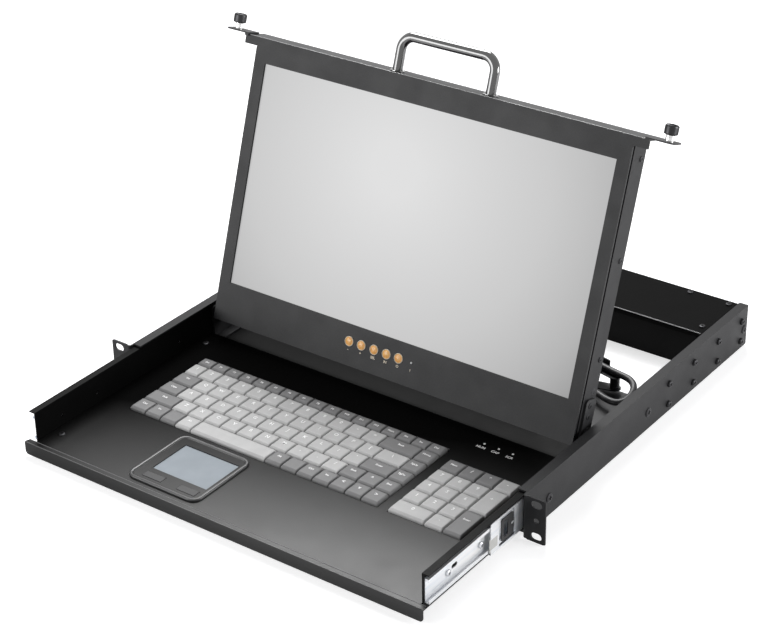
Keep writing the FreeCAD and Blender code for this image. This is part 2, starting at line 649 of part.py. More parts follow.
def tray_screws():
    """Deck screws and the screws that hold the drawer members to the tray walls."""
    top = [screw(*DECK_SCREW_HEAD, SCREW_SHANK, 5.0, place + (DECK_TOP,), (0, 0, 1))
           for place in deck_screw_places()]
    right = [screw(*TRAY_SCREW_HEAD, SCREW_SHANK, SLIDE_SHEET + TRAY_SHEET, (inner_web[1], y, TRAY_SCREW_Z),
                   (1, 0, 0)) for y in TRAY_SCREW_Y]
    return group(top + right + [mirrored(one) for one in right])


# ---- keys ----
def row_y(index):
    """(low, high) of a key row; row 1 is the shallow one at the back."""
    if index == 1:
        return (keys_back - TOP_ROW_DEPTH, keys_back)
    front = KEYS_FRONT + (6 - index) * ROW_PITCH
    return (front, front + ROW_PITCH)


def row_cells(index):
    """Cells of one row as ((x low, x high), (y low, y high))."""
    y = row_y(index)
    if index == 1:
        pitch = (keys_right - KEYS_LEFT) / TOP_ROW_KEYS
        return [((KEYS_LEFT + k * pitch, KEYS_LEFT + (k + 1) * pitch), y) for k in range(TOP_ROW_KEYS)]
    cells = []
    x = KEYS_LEFT
    for width in KEY_ROWS[index]:
        cells.append(((x, x + width * KEY_PITCH), y))
        x += width * KEY_PITCH
    cells.append(((main_right, keys_right), y))
    return cells


def numpad_cells():
    cells = []
    for column, row, across, up in NUMPAD_KEYS:
        x = NUMPAD_LEFT + column * NUMPAD_PITCH
        y = KEYS_FRONT + row * ROW_PITCH
        cells.append(((x, x + across * NUMPAD_PITCH), (y, y + up * ROW_PITCH)))
    return cells


def key(cell):
    """One key: skirt, bevelled crown and the stem that runs down into the base."""
    x = (cell[0][0] + KEY_GAP / 2, cell[0][1] - KEY_GAP / 2)
    y = (cell[1][0] + KEY_GAP / 2, cell[1][1] - KEY_GAP / 2)
    shoulder = KEY_TOP - KEY_CROWN
    skirt = box(x, y, (key_bottom, shoulder))
    crown = Part.makeWedge(x[0], shoulder, -y[1], KEY_BEVEL - y[1], x[0] + KEY_BEVEL,
                           x[1], KEY_TOP, -y[0], -y[0] - KEY_FRONT_BEVEL, x[1] - KEY_BEVEL)
    crown.rotate(Vector(0, 0, 0), Vector(1, 0, 0), 90)
    return skirt.fuse([crown, stem(cell, KEY_STEM, (BASE_TOP - STEM_REACH, key_bottom))]).removeSplitter()


def stem(cell, width, z):
    middle_x = sum(cell[0]) / 2
    middle_y = sum(cell[1]) / 2
    return box((middle_x - width / 2, middle_x + width / 2), (middle_y - width / 2, middle_y + width / 2), z)


def keyboard_bases():
    """Base plates under the two key blocks, with a hole for each stem and a rim on the tray floor."""
    cells = [cell for index in range(1, 7) for cell in row_cells(index)]
    bases = []
    for (left, right, back), block in zip(key_blocks, (cells, numpad_cells())):
        x = (left - KEYBOARD_MARGIN, right + KEYBOARD_MARGIN)
        y = (KEYS_FRONT - KEYBOARD_MARGIN, back + KEYBOARD_MARGIN)
        rim = KEYBOARD_MARGIN - LOOSE
        plate = box(x, y, (floor_top, BASE_TOP))
        hollow = box((x[0] + rim, x[1] - rim), (y[0] + rim, y[1] - rim),
                     (floor_top - 1, BASE_TOP - BASE_SHEET))
        holes = [stem(cell, KEY_STEM + 2 * LOOSE, (BASE_TOP - 3, BASE_TOP + 1)) for cell in block]
        bases.append(plate.cut([hollow]).cut(holes))
    return group(bases)


# ---- touchpad ----
def touch_block(grow, z):
    """Rounded block on the touchpad's outline, grown or shrunk all round."""
    x = (TOUCHPAD_X[0] - grow, TOUCHPAD_X[1] + grow)
    y = (TOUCHPAD_Y[0] - grow, TOUCHPAD_Y[1] + grow)
    return rounded_plate(x, y, z, TOUCHPAD_CORNER + grow)


def touchpad_frame():
    """Raised frame that drops into the deck, with windows for the pad and its two buttons."""
    top = DECK_TOP + TOUCHPAD_RISE
    cap = touch_block(0, (DECK_TOP, top))
    upper = [edge for edge in cap.Edges if abs(edge.BoundBox.ZMin - top) < 0.01 and
             abs(edge.BoundBox.ZMax - top) < 0.01]
    cap = cap.makeChamfer(1.2, upper)
    neck = touch_block(TOUCH_NECK, (TOUCH_BOTTOM, DECK_TOP))
    feet = touch_block(TOUCH_NECK, (floor_top, TOUCH_BOTTOM))
    pad = box(TOUCH_SURFACE_X, TOUCH_SURFACE_Y, (top - 2.0, top + 1))
    cuts = [pad]
    for x in TOUCH_BUTTONS_X:
        cuts.append(box((x[0] - LOOSE, x[1] + LOOSE), (TOUCH_BUTTON_Y[0] - LOOSE, TOUCH_BUTTON_Y[1] + LOOSE),
                        (TOUCH_BOTTOM + 1, top + 1)))
    cuts.append(box((TOUCHPAD_X[0] + 8, TOUCHPAD_X[1] - 8), (TOUCHPAD_Y[0] + 24, TOUCHPAD_Y[1] - 8),
                    (floor_top - 1, TOUCH_BOTTOM + 3)))
    return join([cap, neck, feet]).cut(cuts)


def touch_surface():
    top = DECK_TOP + TOUCHPAD_RISE
    inset = SNUG
    return box((TOUCH_SURFACE_X[0] + inset, TOUCH_SURFACE_X[1] - inset),
               (TOUCH_SURFACE_Y[0] + inset, TOUCH_SURFACE_Y[1] - inset), (top - 2.0, top - 0.7))


def touch_button(x):
    """Button cap with a shank that stands just above the bottom of its well."""
    top = DECK_TOP + TOUCHPAD_RISE + 0.4
    cap = box(x, TOUCH_BUTTON_Y, (TOUCH_BOTTOM + 1 + TOUCH_BUTTON_TRAVEL + LOOSE, top))
    return cap.makeFillet(0.4, [edge for edge in cap.Edges if edge.BoundBox.ZMin > top - 0.01])


def controller_board():
    """Board under the deck behind the numpad, with the status lamps on it."""
    bottom = floor_top + 1.5
    lamp_height = lamp_seat - bottom - BOARD_SHEET
    chips = [(80, 85, 12, 12, 1.4), (100, 84, 8, 8, 1.2)]
    lamps = [(x, LAMP_Y, 4, 4, lamp_height) for x in LAMP_X]
    return circuit_board((60.0, 165.0), (72.0, 98.0), bottom, 1.5, chips + lamps)


def status_lamps():
    """Light pipes from the lamps on the board up through the deck."""
    return group([rod(LAMP_RADIUS, (x, LAMP_Y, lamp_seat), (x, LAMP_Y, DECK_TOP + 0.4)) for x in LAMP_X])


# ---- hinge ----
def hinge_brackets():
    """Brackets on the tray walls with the fixed hinge pins."""
    pin_y, pin_z = HINGE_Y, HINGE_Z
    plate = box((wall_in - 2.4, wall_in), (pin_y - 14, pin_y + 14), (floor_top, WALL_TOP - TRAY_SHEET - 0.5))
    plate = rounded(plate, 3.0, Vector(1, 0, 0), lambda p: p.z > 0)
    foot = box((wall_in - 12, wall_in), (pin_y - 14, pin_y + 14), (floor_top, floor_top + 2.4))
    pin = rod(HINGE_PIN, (leaf_x[0] + 0.4, pin_y, pin_z), (wall_in - 1, pin_y, pin_z))
    return group(both_sides(join([plate, foot, pin])))


def hinge_leaves():
    """Leaves on the screen housing's sides, bored for the hinge pins."""
    plate = box(leaf_x, (-36, 2), (-25, -8))
    plate = rounded(plate, 4.0, Vector(1, 0, 0))
    boss = rod(6.0, (leaf_x[0], HINGE_V, HINGE_W), (leaf_x[1] + 1.6, HINGE_V, HINGE_W))
    bore = rod(HINGE_PIN + RUNNING, (leaf_x[0] - 1, HINGE_V, HINGE_W), (leaf_x[1] + 3, HINGE_V, HINGE_W))
    leaf = join([plate, boss]).cut(bore)
    holes = [rod(SCREW_SHANK + SNUG, (leaf_x[0] - 1, v, LEAF_SCREW_W), (leaf_x[1] + 1, v, LEAF_SCREW_W))
             for v in LEAF_SCREW_V]
    leaf = leaf.cut(holes)
    return group(both_sides(on_screen(leaf)))


# ---- screen, drawn flat: x is u, y is v, z is w ----
def lcd_bezel():
    """Front frame with the screen window, a recessed band behind its edge and the control holes."""
    half = bezel_half
    front = box((-half, half), (BEZEL_BOTTOM, BEZEL_TOP), (-BEZEL_SHEET, 0))
    front = rounded(front, 1.0, Vector(0, 0, 1))
    band = box((-half + 1.2, half - 1.2), (BEZEL_BOTTOM + 1.2, BEZEL_TOP - 1.2),
               (-BEZEL_SHEET - BEZEL_BAND, -BEZEL_SHEET))
    inner = box((-half + 3.2, half - 3.2), (BEZEL_BOTTOM + 3.2, BEZEL_TOP - 3.2),
                (-BEZEL_SHEET - BEZEL_BAND - 1, -BEZEL_SHEET))
    frame = join([front, band.cut(inner)])
    window = box((-SCREEN_WIDTH / 2, SCREEN_WIDTH / 2), (0, SCREEN_HEIGHT), (-BEZEL_SHEET - 1, 1))
    holes = [rod(OSD_RADIUS + LOOSE, (u, OSD_V, -5), (u, OSD_V, 1)) for u in OSD_BUTTONS_U]
    holes.append(rod(LAMP_RADIUS + SNUG, (OSD_LAMP_U, OSD_V, -5), (OSD_LAMP_U, OSD_V, 1)))
    return on_screen(frame.cut([window] + holes))


def lcd_panel():
    """Display module behind the bezel, its glass at the window."""
    half = SCREEN_WIDTH / 2 + MODULE_MARGIN
    module = box((-half, half), (-MODULE_MARGIN, SCREEN_HEIGHT + MODULE_MARGIN),
                 (-BEZEL_SHEET - MODULE_DEPTH, -BEZEL_SHEET))
    return on_screen(module)


def lcd_back_housing():
    """Shallow tray behind the bezel, with vents in its back."""
    half = bezel_half
    y = (BEZEL_BOTTOM, BEZEL_TOP)
    t = HOUSING_SHEET
    front_w = -BEZEL_SHEET - BEZEL_BAND
    shell = box((-half, half), y, (-HOUSING_DEPTH, front_w))
    shell = rounded(shell, 1.0, Vector(0, 0, 1))
    inside = box((-half + t, half - t), (y[0] + t, y[1] - t), (-HOUSING_DEPTH + t, front_w + 1))
    cuts = [inside]
    for column in range(14):
        for row_v in (150.0, 174.0):
            u = -104 + column * 16
            cuts.append(box((u - 1.5, u + 1.5), (row_v, row_v + 16),
                            (-HOUSING_DEPTH - 1, -HOUSING_DEPTH + 3)))
    for u in (-half, half):
        for v in SIDE_SCREW_V + (FLUSH_SCREW_V,) + LEAF_SCREW_V:
            w = LEAF_SCREW_W if v in LEAF_SCREW_V else SIDE_SCREW_W
            cuts.append(rod(SCREW_SHANK + SNUG, (u - 2, v, w), (u + 2, v, w)))
    return on_screen(shell.cut(cuts))


def lcd_circuit_boards():
    """Signal board on the housing's back and the button board below the window."""
    back = -HOUSING_DEPTH + HOUSING_SHEET
    signal = box((-70, 70), (20, 110), (back + 4, back + 5.6))
    chips = [box((u - 9, u + 9), (v - 9, v + 9), (back + 5.6, back + 7.6)) for u, v in ((-30, 60), (25, 80))]
    legs = [rod(2.5, (u, v, back), (u, v, back + 4)) for u in (-62, 62) for v in (28, 102)]
    buttons = box((-52, 36), (-25, -9), (-11.5, -9.9))
    posts = [box((u - 2, u + 2), (-22, -12), (back, -11.5)) for u in (-49, 33)]
    return group([on_screen(join([signal] + chips + legs)), on_screen(join([buttons] + posts))])


def front_panel():
    """One-unit-high front strip: bezel edge, outer face and the two latch tabs with their joggles."""
    half = PANEL_WIDTH / 2
    t = PANEL_SHEET
    strip = box((-half, half), (BEZEL_TOP, PANEL_FACE), (-t, 0))
    face = box((-half, half), (PANEL_FACE - t, PANEL_FACE), (-PANEL_DEPTH, 0))
    back_fold = box((-half + 14, half - 14), (BEZEL_TOP, PANEL_FACE), (-HOUSING_DEPTH, -HOUSING_DEPTH + t))
    tab_w = (TAB_CENTRE_W - TAB_HEIGHT / 2, TAB_CENTRE_W + TAB_HEIGHT / 2)
    tab = box((half - 4, ear_half), (TAB_FACE - t, TAB_FACE), tab_w)
    tab = rounded(tab, 4.0, Vector(0, 1, 0), lambda p: p.x > half)
    joggle = box((half - 4, half), (PANEL_FACE - t, TAB_FACE), tab_w)
    hole = rod(KNOB_SHAFT + RUNNING, (knob_u, PANEL_FACE - 2, TAB_CENTRE_W),
               (knob_u, TAB_FACE + 1, TAB_CENTRE_W))
    tabs = both_sides(join([tab, joggle]).cut(hole))
    legs = [rod(SCREW_SHANK + SNUG, (u, BEZEL_TOP, HANDLE_W), (u, TAB_FACE, HANDLE_W))
            for u in (-HANDLE_HALF_SPAN, HANDLE_HALF_SPAN)]
    return on_screen(join([strip, face, back_fold] + tabs).cut(legs))


def pull_handle():
    """Round bar handle: two legs, two bends and the grip."""
    radius = HANDLE_DIAMETER / 2
    top = HANDLE_TOP - radius
    span = HANDLE_HALF_SPAN
    bend = HANDLE_BEND
    pieces = [rod(radius, (bend - span, top, HANDLE_W), (span - bend, top, HANDLE_W))]
    for side in (-1, 1):
        pieces.append(rod(radius, (side * span, PANEL_FACE, HANDLE_W), (side * span, top - bend, HANDLE_W)))
        centre = Vector(side * (span - bend), top - bend, HANDLE_W)
        ring = Part.makeTorus(bend, radius, centre, Vector(0, 0, 1))
        corner = box((0, bend + radius + 1), (0, bend + radius + 1), (-radius - 1, radius + 1))
        corner = corner if side > 0 else mirrored(corner)
        corner.translate(centre)
        pieces.append(ring.common(corner))
    bore = [rod(SCREW_SHANK + SNUG, (u, PANEL_FACE - 1, HANDLE_W), (u, PANEL_FACE + 8, HANDLE_W))
            for u in (-span, span)]
    return on_screen(join(pieces).cut(bore))


def lcd_fasteners():
    """Side screws, leaf screws, handle screws and the collars that guide the thumbscrews."""
    right = [screw(2.6, 1.0, SCREW_SHANK, HOUSING_SHEET, (bezel_half, v, SIDE_SCREW_W), (1, 0, 0))
             for v in SIDE_SCREW_V]
    right.append(screw(3.4, 0.3, SCREW_SHANK, HOUSING_SHEET, (bezel_half, FLUSH_SCREW_V, SIDE_SCREW_W),
                       (1, 0, 0)))
    right += [screw(2.6, 0.8, SCREW_SHANK, HOUSING_SHEET + LEAF_SHEET + SNUG, (leaf_x[1], v, LEAF_SCREW_W),
                    (1, 0, 0)) for v in LEAF_SCREW_V]
    at = (knob_u, TAB_FACE, TAB_CENTRE_W)
    right.append(tube(COLLAR_RADIUS, KNOB_SHAFT + RUNNING, at, (knob_u, TAB_FACE + COLLAR_LENGTH, at[2])))
    right.append(screw(2.8, 1.6, SCREW_SHANK, PANEL_SHEET + 7, (HANDLE_HALF_SPAN, PANEL_FACE - PANEL_SHEET,
                                                                 HANDLE_W), (0, -1, 0)))
    flat = right + [mirrored(one) for one in right]
    return group([on_screen(one) for one in flat])


def power_lamp():
    return on_screen(rod(LAMP_RADIUS, (OSD_LAMP_U, OSD_V, -9.9), (OSD_LAMP_U, OSD_V, 0.3)))


def osd_button(u):
    """Domed button whose stem ends just above its switch on the button board."""
    dome = Part.makeSphere(9.0, Vector(u, OSD_V, 1.2 - 9.0))
    body = rod(OSD_RADIUS, (u, OSD_V, -4.0), (u, OSD_V, 2.0)).common(dome)
    pusher = rod(1.5, (u, OSD_V, -9.9 + OSD_TRAVEL + LOOSE), (u, OSD_V, -3.0))
    return on_screen(join([body, pusher]))


def thumbscrew(side):
    """Knurled knob with its shaft through the collar and tab."""
    start = TAB_FACE + COLLAR_LENGTH + LOOSE
    end = start + KNOB_LENGTH
    u = side * knob_u
    knob = rod(KNOB_RADIUS, (u, start, TAB_CENTRE_W), (u, end, TAB_CENTRE_W))
    hollow = rod(KNOB_RADIUS - 1.6, (u, end - 2.5, TAB_CENTRE_W), (u, end + 1, TAB_CENTRE_W))
    shaft = rod(KNOB_SHAFT, (u, TAB_FACE - PANEL_SHEET, TAB_CENTRE_W), (u, start + 1, TAB_CENTRE_W))
    grooves = []
    for k in range(24):
        angle = math.radians(15 * k)
        gu = u + KNOB_RADIUS * math.cos(angle)
        gw = TAB_CENTRE_W + KNOB_RADIUS * math.sin(angle)
        grooves.append(rod(0.35, (gu, start - 1, gw), (gu, end + 1, gw)))
    return on_screen(join([knob, shaft]).cut(grooves + [hollow]))


# ---- cable arm ----
def arm_link(start, end, z, wall_start, bores):
    """Channel link with rounded ends: floor, and side walls along its straight part."""
    run = Vector(end[0] - start[0], end[1] - start[1], 0)
    length = run.Length
    half = ARM_WIDTH / 2
    pieces = [box((0, length), (-half, half), (z[0], z[0] + ARM_SHEET))]
    pieces += [rod(half, (x, 0, z[0]), (x, 0, z[0] + ARM_SHEET)) for x in (0, length)]
    for y in ((-half, -half + ARM_SHEET), (half - ARM_SHEET, half)):
        pieces.append(box((wall_start, length - ARM_WIDTH), y, z))
    for k in range(2, 6):
        x = length * k / 6
        pieces.append(box((x - 4, x + 4), (-half, half), (z[1] - ARM_SHEET, z[1])))
    link = join(pieces)
    cuts = [rod(radius, (x, 0, z[0] - 1), (x, 0, z[0] + ARM_SHEET + 1)) for x, radius in bores]
    link = link.cut(cuts) if cuts else link
    link.rotate(Vector(0, 0, 0), Vector(0, 0, 1), math.degrees(math.atan2(run.y, run.x)))
    link.translate(Vector(start[0], start[1], 0))
    return link


def arm_rear_link():
    """Rear link, with the elbow pin that hangs below it."""
    link = arm_link((ARM_PIVOT_X, ARM_BOX_Y), (elbow_x, elbow_y), ARM_REAR_Z, ARM_WIDTH,
                    [(0, ARM_PIN + RUNNING)])
    pin = rod(ARM_PIN, (elbow_x, elbow_y, ARM_FRONT_Z[0] - 0.4), (elbow_x, elbow_y, ARM_REAR_Z[0] + 0.5))
    shoulder = rod(ELBOW_SHOULDER, (elbow_x, elbow_y, ARM_FRONT_Z[0] + ARM_SHEET + LOOSE),
                   (elbow_x, elbow_y, ARM_REAR_Z[0] + 0.5))
    return join([link, pin, shoulder])


def arm_front_link():
    """Front link, with the pin that runs in the tray bracket's slot."""
    link = arm_link((elbow_x, elbow_y), (ARM_PIVOT_X, ARM_TRAY_Y), ARM_FRONT_Z, ARM_CABLE_ENTRY,
                    [(0, ARM_PIN + RUNNING)])
    pin = rod(ARM_PIN, (ARM_PIVOT_X, ARM_TRAY_Y, ARM_FRONT_Z[0]), (ARM_PIVOT_X, ARM_TRAY_Y, -6.0))
    return join([link, pin])


def arm_box_bracket():
    """Bracket on the box front wall that carries the rear link's pivot pin."""
    top = ARM_REAR_Z[0] - LOOSE
    shelf = box((ARM_PIVOT_X - 9, ARM_PIVOT_X + 9), (ARM_BOX_Y - 7, BOX_START), (top - 1.5, top))
    plate = box((ARM_PIVOT_X - 9, ARM_PIVOT_X + 9), (BOX_START - 1.5, BOX_START), (box_floor + 1, top))
    pin = rod(ARM_PIN, (ARM_PIVOT_X, ARM_BOX_Y, top - 1), (ARM_PIVOT_X, ARM_BOX_Y, ARM_REAR_Z[0] + 3))
    return join([shelf, plate, pin])


def arm_tray_bracket():
    """Fork on the tray's rear wall that takes the last pin of the arm with play."""
    z = (ARM_FRONT_Z[0] + ARM_SHEET + LOOSE, ARM_FRONT_Z[0] + ARM_SHEET + LOOSE + 1.5)
    reach = ARM_TRAY_Y + ARM_PLAY + ARM_PIN
    half = ARM_PIN + 4
    shelf = box((ARM_PIVOT_X - half, ARM_PIVOT_X + half), (TRAY_REAR, reach), z)
    plate = box((ARM_PIVOT_X - half, ARM_PIVOT_X + half), (TRAY_REAR, TRAY_REAR + 1.5),
                (z[0], ARM_FRONT_Z[1]))
    slot_half = ARM_PIN + LOOSE
    slot = box((ARM_PIVOT_X - slot_half, ARM_PIVOT_X + slot_half),
               (ARM_TRAY_Y - slot_half, reach + 1), (z[0] - 1, z[1] + 1))
    return join([shelf, plate]).cut(slot)


def cable_run(points):
    """Round cable through points, with tangent arcs at the inner ones."""
    points = [Vector(*point) for point in points]
    edges = []
    start = points[0]
    for before, corner, after in zip(points, points[1:], points[2:]):
        back = (before - corner).normalize()
        ahead = (after - corner).normalize()
        shorter = min((before - corner).Length, (after - corner).Length)
        turn = math.pi - back.getAngle(ahead)
        reach = 0.45 * shorter
        radius = reach / math.tan(turn / 2)
        first = corner + back * reach
        last = corner + ahead * reach
        inward = (back + ahead).normalize()
        depth = radius / math.cos(turn / 2) - radius
        edges.append(Part.LineSegment(start, first).toShape())
        edges.append(Part.Arc(first, corner + inward * depth, last).toShape())
        start = last
    edges.append(Part.LineSegment(start, points[-1]).toShape())
    path = Part.Wire(edges)
    along = (points[1] - points[0]).normalize()
    circle = Part.Wire([Part.Circle(points[0], along, CABLE_RADIUS).toShape()])
    return path.makePipeShell([circle], True, False, 2)


def along_link(start, end, distance, side, z):
    """Point at a distance along a link and offset to its left."""
    run = Vector(end[0] - start[0], end[1] - start[1], 0).normalize()
    place = Vector(start[0], start[1], z) + run * distance + Vector(-run.y, run.x, 0) * side
    return (place.x, place.y, place.z)


def cable_rear():
    """Cable lying in the rear link, out past the elbow and half-way round its loop."""
    z = ARM_REAR_Z[0] + ARM_SHEET + CABLE_RADIUS + SNUG
    waves = ((0.2, 0.5), (0.4, -0.5), (0.6, 0.5), (0.75, -0.4), (0.9, 0.3), (1.0, 0.0))
    points = [along_link(box_pivot, elbow, CABLE_START, 0, z)]
    points += [along_link(box_pivot, elbow, share * ARM_LENGTH, side, z) for share, side in waves]
    points += [(elbow_x + 20, elbow_y - 3, z), (elbow_x + 29, elbow_y - 17, 1.0)]
    return cable_run(points)


def cable_front():
    """The other half of the elbow loop and the cable lying in the front link."""
    z = ARM_FRONT_Z[0] + ARM_SHEET + CABLE_RADIUS
    waves = ((1 / 3, -0.5), (1 / 2, 0.5), (2 / 3, -0.5), (5 / 6, 0.4))
    points = [(elbow_x + 29, elbow_y - 15.5, -6.4), (elbow_x + 20, elbow_y - 34, z + 1)]
    points += [along_link(elbow, tray_pivot, 12, 14, z), along_link(elbow, tray_pivot, 60, 0.6, z)]
    points += [along_link(elbow, tray_pivot, share * ARM_LENGTH, side, z) for share, side in waves]
    points.append(along_link(elbow, tray_pivot, ARM_LENGTH - CABLE_END, 0, z))
    return cable_run(points)


def main():
    os.makedirs("parts", exist_ok=True)
    right_pieces = {"chassis_side": chassis_side(), "outer_slide": outer_slide(),
                    "middle_slide": middle_slide(), "inner_slide": inner_slide(),
                    "release_lever": release_lever()}
    for name, shape in right_pieces.items():
        save(name + "_right", shape)
        save(name + "_left", mirrored(shape))
    makers = [bottom_pan, rear_box_base, rear_box_cover, chassis_screws, power_supply, switch_board,
              rear_connectors, power_inlet, slide_retainers, ball_cages, tray_pan, deck_plate, tray_screws,
              keyboard_bases, touchpad_frame, touch_surface, controller_board, status_lamps,
              hinge_brackets, hinge_leaves, lcd_bezel, lcd_panel, lcd_back_housing, lcd_circuit_boards,
              front_panel, pull_handle, lcd_fasteners, power_lamp, arm_rear_link, arm_front_link,
              arm_box_bracket, arm_tray_bracket, cable_rear, cable_front]
    for maker in makers:
        save(maker.__name__, maker())
    for index in range(1, 7):
        save("key_row_" + str(index), group([key(cell) for cell in row_cells(index)]))
    save("numpad_keys", group([key(cell) for cell in numpad_cells()]))
    for name, x in zip(("left", "right"), TOUCH_BUTTONS_X):
        save("touch_button_" + name, touch_button(x))
    for number, u in enumerate(OSD_BUTTONS_U, 1):
        save("osd_button_" + str(number), osd_button(u))
    save("thumbscrew_left", thumbscrew(-1))
    save("thumbscrew_right", thumbscrew(1))


main()
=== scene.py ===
import json
import math

import bmesh
import bpy
from mathutils import Matrix, Vector


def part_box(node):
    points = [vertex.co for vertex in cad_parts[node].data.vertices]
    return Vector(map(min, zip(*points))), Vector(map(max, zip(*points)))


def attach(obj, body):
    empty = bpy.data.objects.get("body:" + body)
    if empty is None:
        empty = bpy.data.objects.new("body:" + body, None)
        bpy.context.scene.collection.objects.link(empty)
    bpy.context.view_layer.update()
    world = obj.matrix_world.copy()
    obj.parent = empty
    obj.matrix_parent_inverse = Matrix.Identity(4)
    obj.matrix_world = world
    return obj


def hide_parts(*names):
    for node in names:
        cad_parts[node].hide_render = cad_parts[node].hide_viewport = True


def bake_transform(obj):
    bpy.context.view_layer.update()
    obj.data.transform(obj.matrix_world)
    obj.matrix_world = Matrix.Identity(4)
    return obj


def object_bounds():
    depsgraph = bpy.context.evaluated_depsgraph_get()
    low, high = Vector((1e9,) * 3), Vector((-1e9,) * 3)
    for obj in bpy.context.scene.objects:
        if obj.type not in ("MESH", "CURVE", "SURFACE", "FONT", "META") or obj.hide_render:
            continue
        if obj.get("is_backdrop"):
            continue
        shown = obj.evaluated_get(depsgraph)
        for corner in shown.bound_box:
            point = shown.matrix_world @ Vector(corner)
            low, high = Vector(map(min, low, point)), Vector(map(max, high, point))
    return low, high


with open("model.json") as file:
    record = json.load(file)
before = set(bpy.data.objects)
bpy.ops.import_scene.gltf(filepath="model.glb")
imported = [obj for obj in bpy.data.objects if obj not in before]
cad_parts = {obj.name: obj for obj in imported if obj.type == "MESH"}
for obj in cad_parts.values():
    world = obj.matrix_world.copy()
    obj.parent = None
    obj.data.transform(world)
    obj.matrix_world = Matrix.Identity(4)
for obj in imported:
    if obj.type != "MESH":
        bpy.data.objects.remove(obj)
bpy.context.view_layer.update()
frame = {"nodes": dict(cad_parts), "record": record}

MM = 0.001
DECK_TOP = -10.2 * MM
UPRIGHT = Matrix.Identity(3)

# The screen's own axes: it leans back about the hinge, whose axis stands at HINGE.
LEAN = math.radians(18.41)
HINGE = Vector((0, 0.1233, 0.0125))
HINGE_ON_SCREEN = (-30.0, -18.7)
SCREEN_UP = Vector((0, math.sin(LEAN), math.cos(LEAN)))
SCREEN_OUT = Vector((0, -math.cos(LEAN), math.sin(LEAN)))
SCREEN_TURN = Matrix((Vector((1, 0, 0)), SCREEN_UP, SCREEN_OUT)).transposed()


def on_screen(u, v, w):
    """Point given in millimetres on the screen's own axes: across, up its face, out of it."""
    up = (v - HINGE_ON_SCREEN[0]) * MM
    out = (w - HINGE_ON_SCREEN[1]) * MM
    return HINGE + Vector((u * MM, 0, 0)) + SCREEN_UP * up + SCREEN_OUT * out


# ---- camera and light ----
CAMERA_PLACE = (0.99255, -1.23343, 0.99636)
CAMERA_AZIMUTH = 36.477
CAMERA_PITCH = 29.051
CAMERA_ROLL = -0.993
CAMERA_LENS = 97.88
CAMERA_SENSOR = 36
VIEW_DEPTH = 50
WORLD_LIGHT = 0.2
FLOOR_HALF = 8
FLOOR_GLOW = 0.7
FLOOR_COLOUR = (0.6, 0.6, 0.61, 1)
LIGHTS = (  # name, place, aim, size, watts
    ("behind", (-0.5, 0.75, 1.2), (0.12, -0.14, 0), (0.9, 0.6), 27),
    ("front", (-0.85, -1.2, 0.45), (0, 0.15, 0.18), (1.0, 0.8), 15),
    ("side", (1.7, 0.75, 0.4), (0.2, 0.15, 0), (1.0, 0.6), 27),
)


def camera():
    data = bpy.data.cameras.new("camera")
    data.sensor_width = CAMERA_SENSOR
    data.lens = CAMERA_LENS
    data.clip_end = VIEW_DEPTH
    view = bpy.data.objects.new("camera", data)
    turn = (Matrix.Rotation(math.radians(CAMERA_AZIMUTH), 4, "Z")
            @ Matrix.Rotation(math.radians(90 - CAMERA_PITCH), 4, "X")
            @ Matrix.Rotation(math.radians(CAMERA_ROLL), 4, "Z"))
    view.matrix_world = Matrix.Translation(CAMERA_PLACE) @ turn
    bpy.context.collection.objects.link(view)
    bpy.context.scene.camera = view


def area_light(name, place, aim, size, watts):
    data = bpy.data.lights.new(name, "AREA")
    data.shape = "RECTANGLE"
    data.size, data.size_y = size
    data.energy = watts
    light = bpy.data.objects.new(name, data)
    light.location = place
    light.rotation_euler = (Vector(aim) - Vector(place)).to_track_quat("-Z", "Y").to_euler()
    bpy.context.collection.objects.link(light)


def looked_at(tree, unseen, seen):
    """Strength for surroundings: seen by the camera, in reflections and through glass, or else unseen."""
    path = tree.nodes.new("ShaderNodeLightPath")
    total = path.outputs["Is Camera Ray"]
    for ray in ("Is Glossy Ray", "Is Transmission Ray"):
        either = tree.nodes.new("ShaderNodeMath")
        either.operation = "MAXIMUM"
        tree.links.new(total, either.inputs[0])
        tree.links.new(path.outputs[ray], either.inputs[1])
        total = either.outputs[0]
    level = tree.nodes.new("ShaderNodeMapRange")
    level.inputs["To Min"].default_value = unseen
    level.inputs["To Max"].default_value = seen
    tree.links.new(total, level.inputs["Value"])
    return level.outputs["Result"]


def studio():
    scene = bpy.context.scene
    scene.view_settings.view_transform = "Standard"
    world = bpy.data.worlds.new("studio")
    world.use_nodes = True
    tree = world.node_tree
    backdrop = tree.nodes["Background"]
    backdrop.inputs["Color"].default_value = (1, 1, 1, 1)
    tree.links.new(looked_at(tree, WORLD_LIGHT, 1.0), backdrop.inputs["Strength"])
    scene.world = world
    for light in LIGHTS:
        area_light(*light)


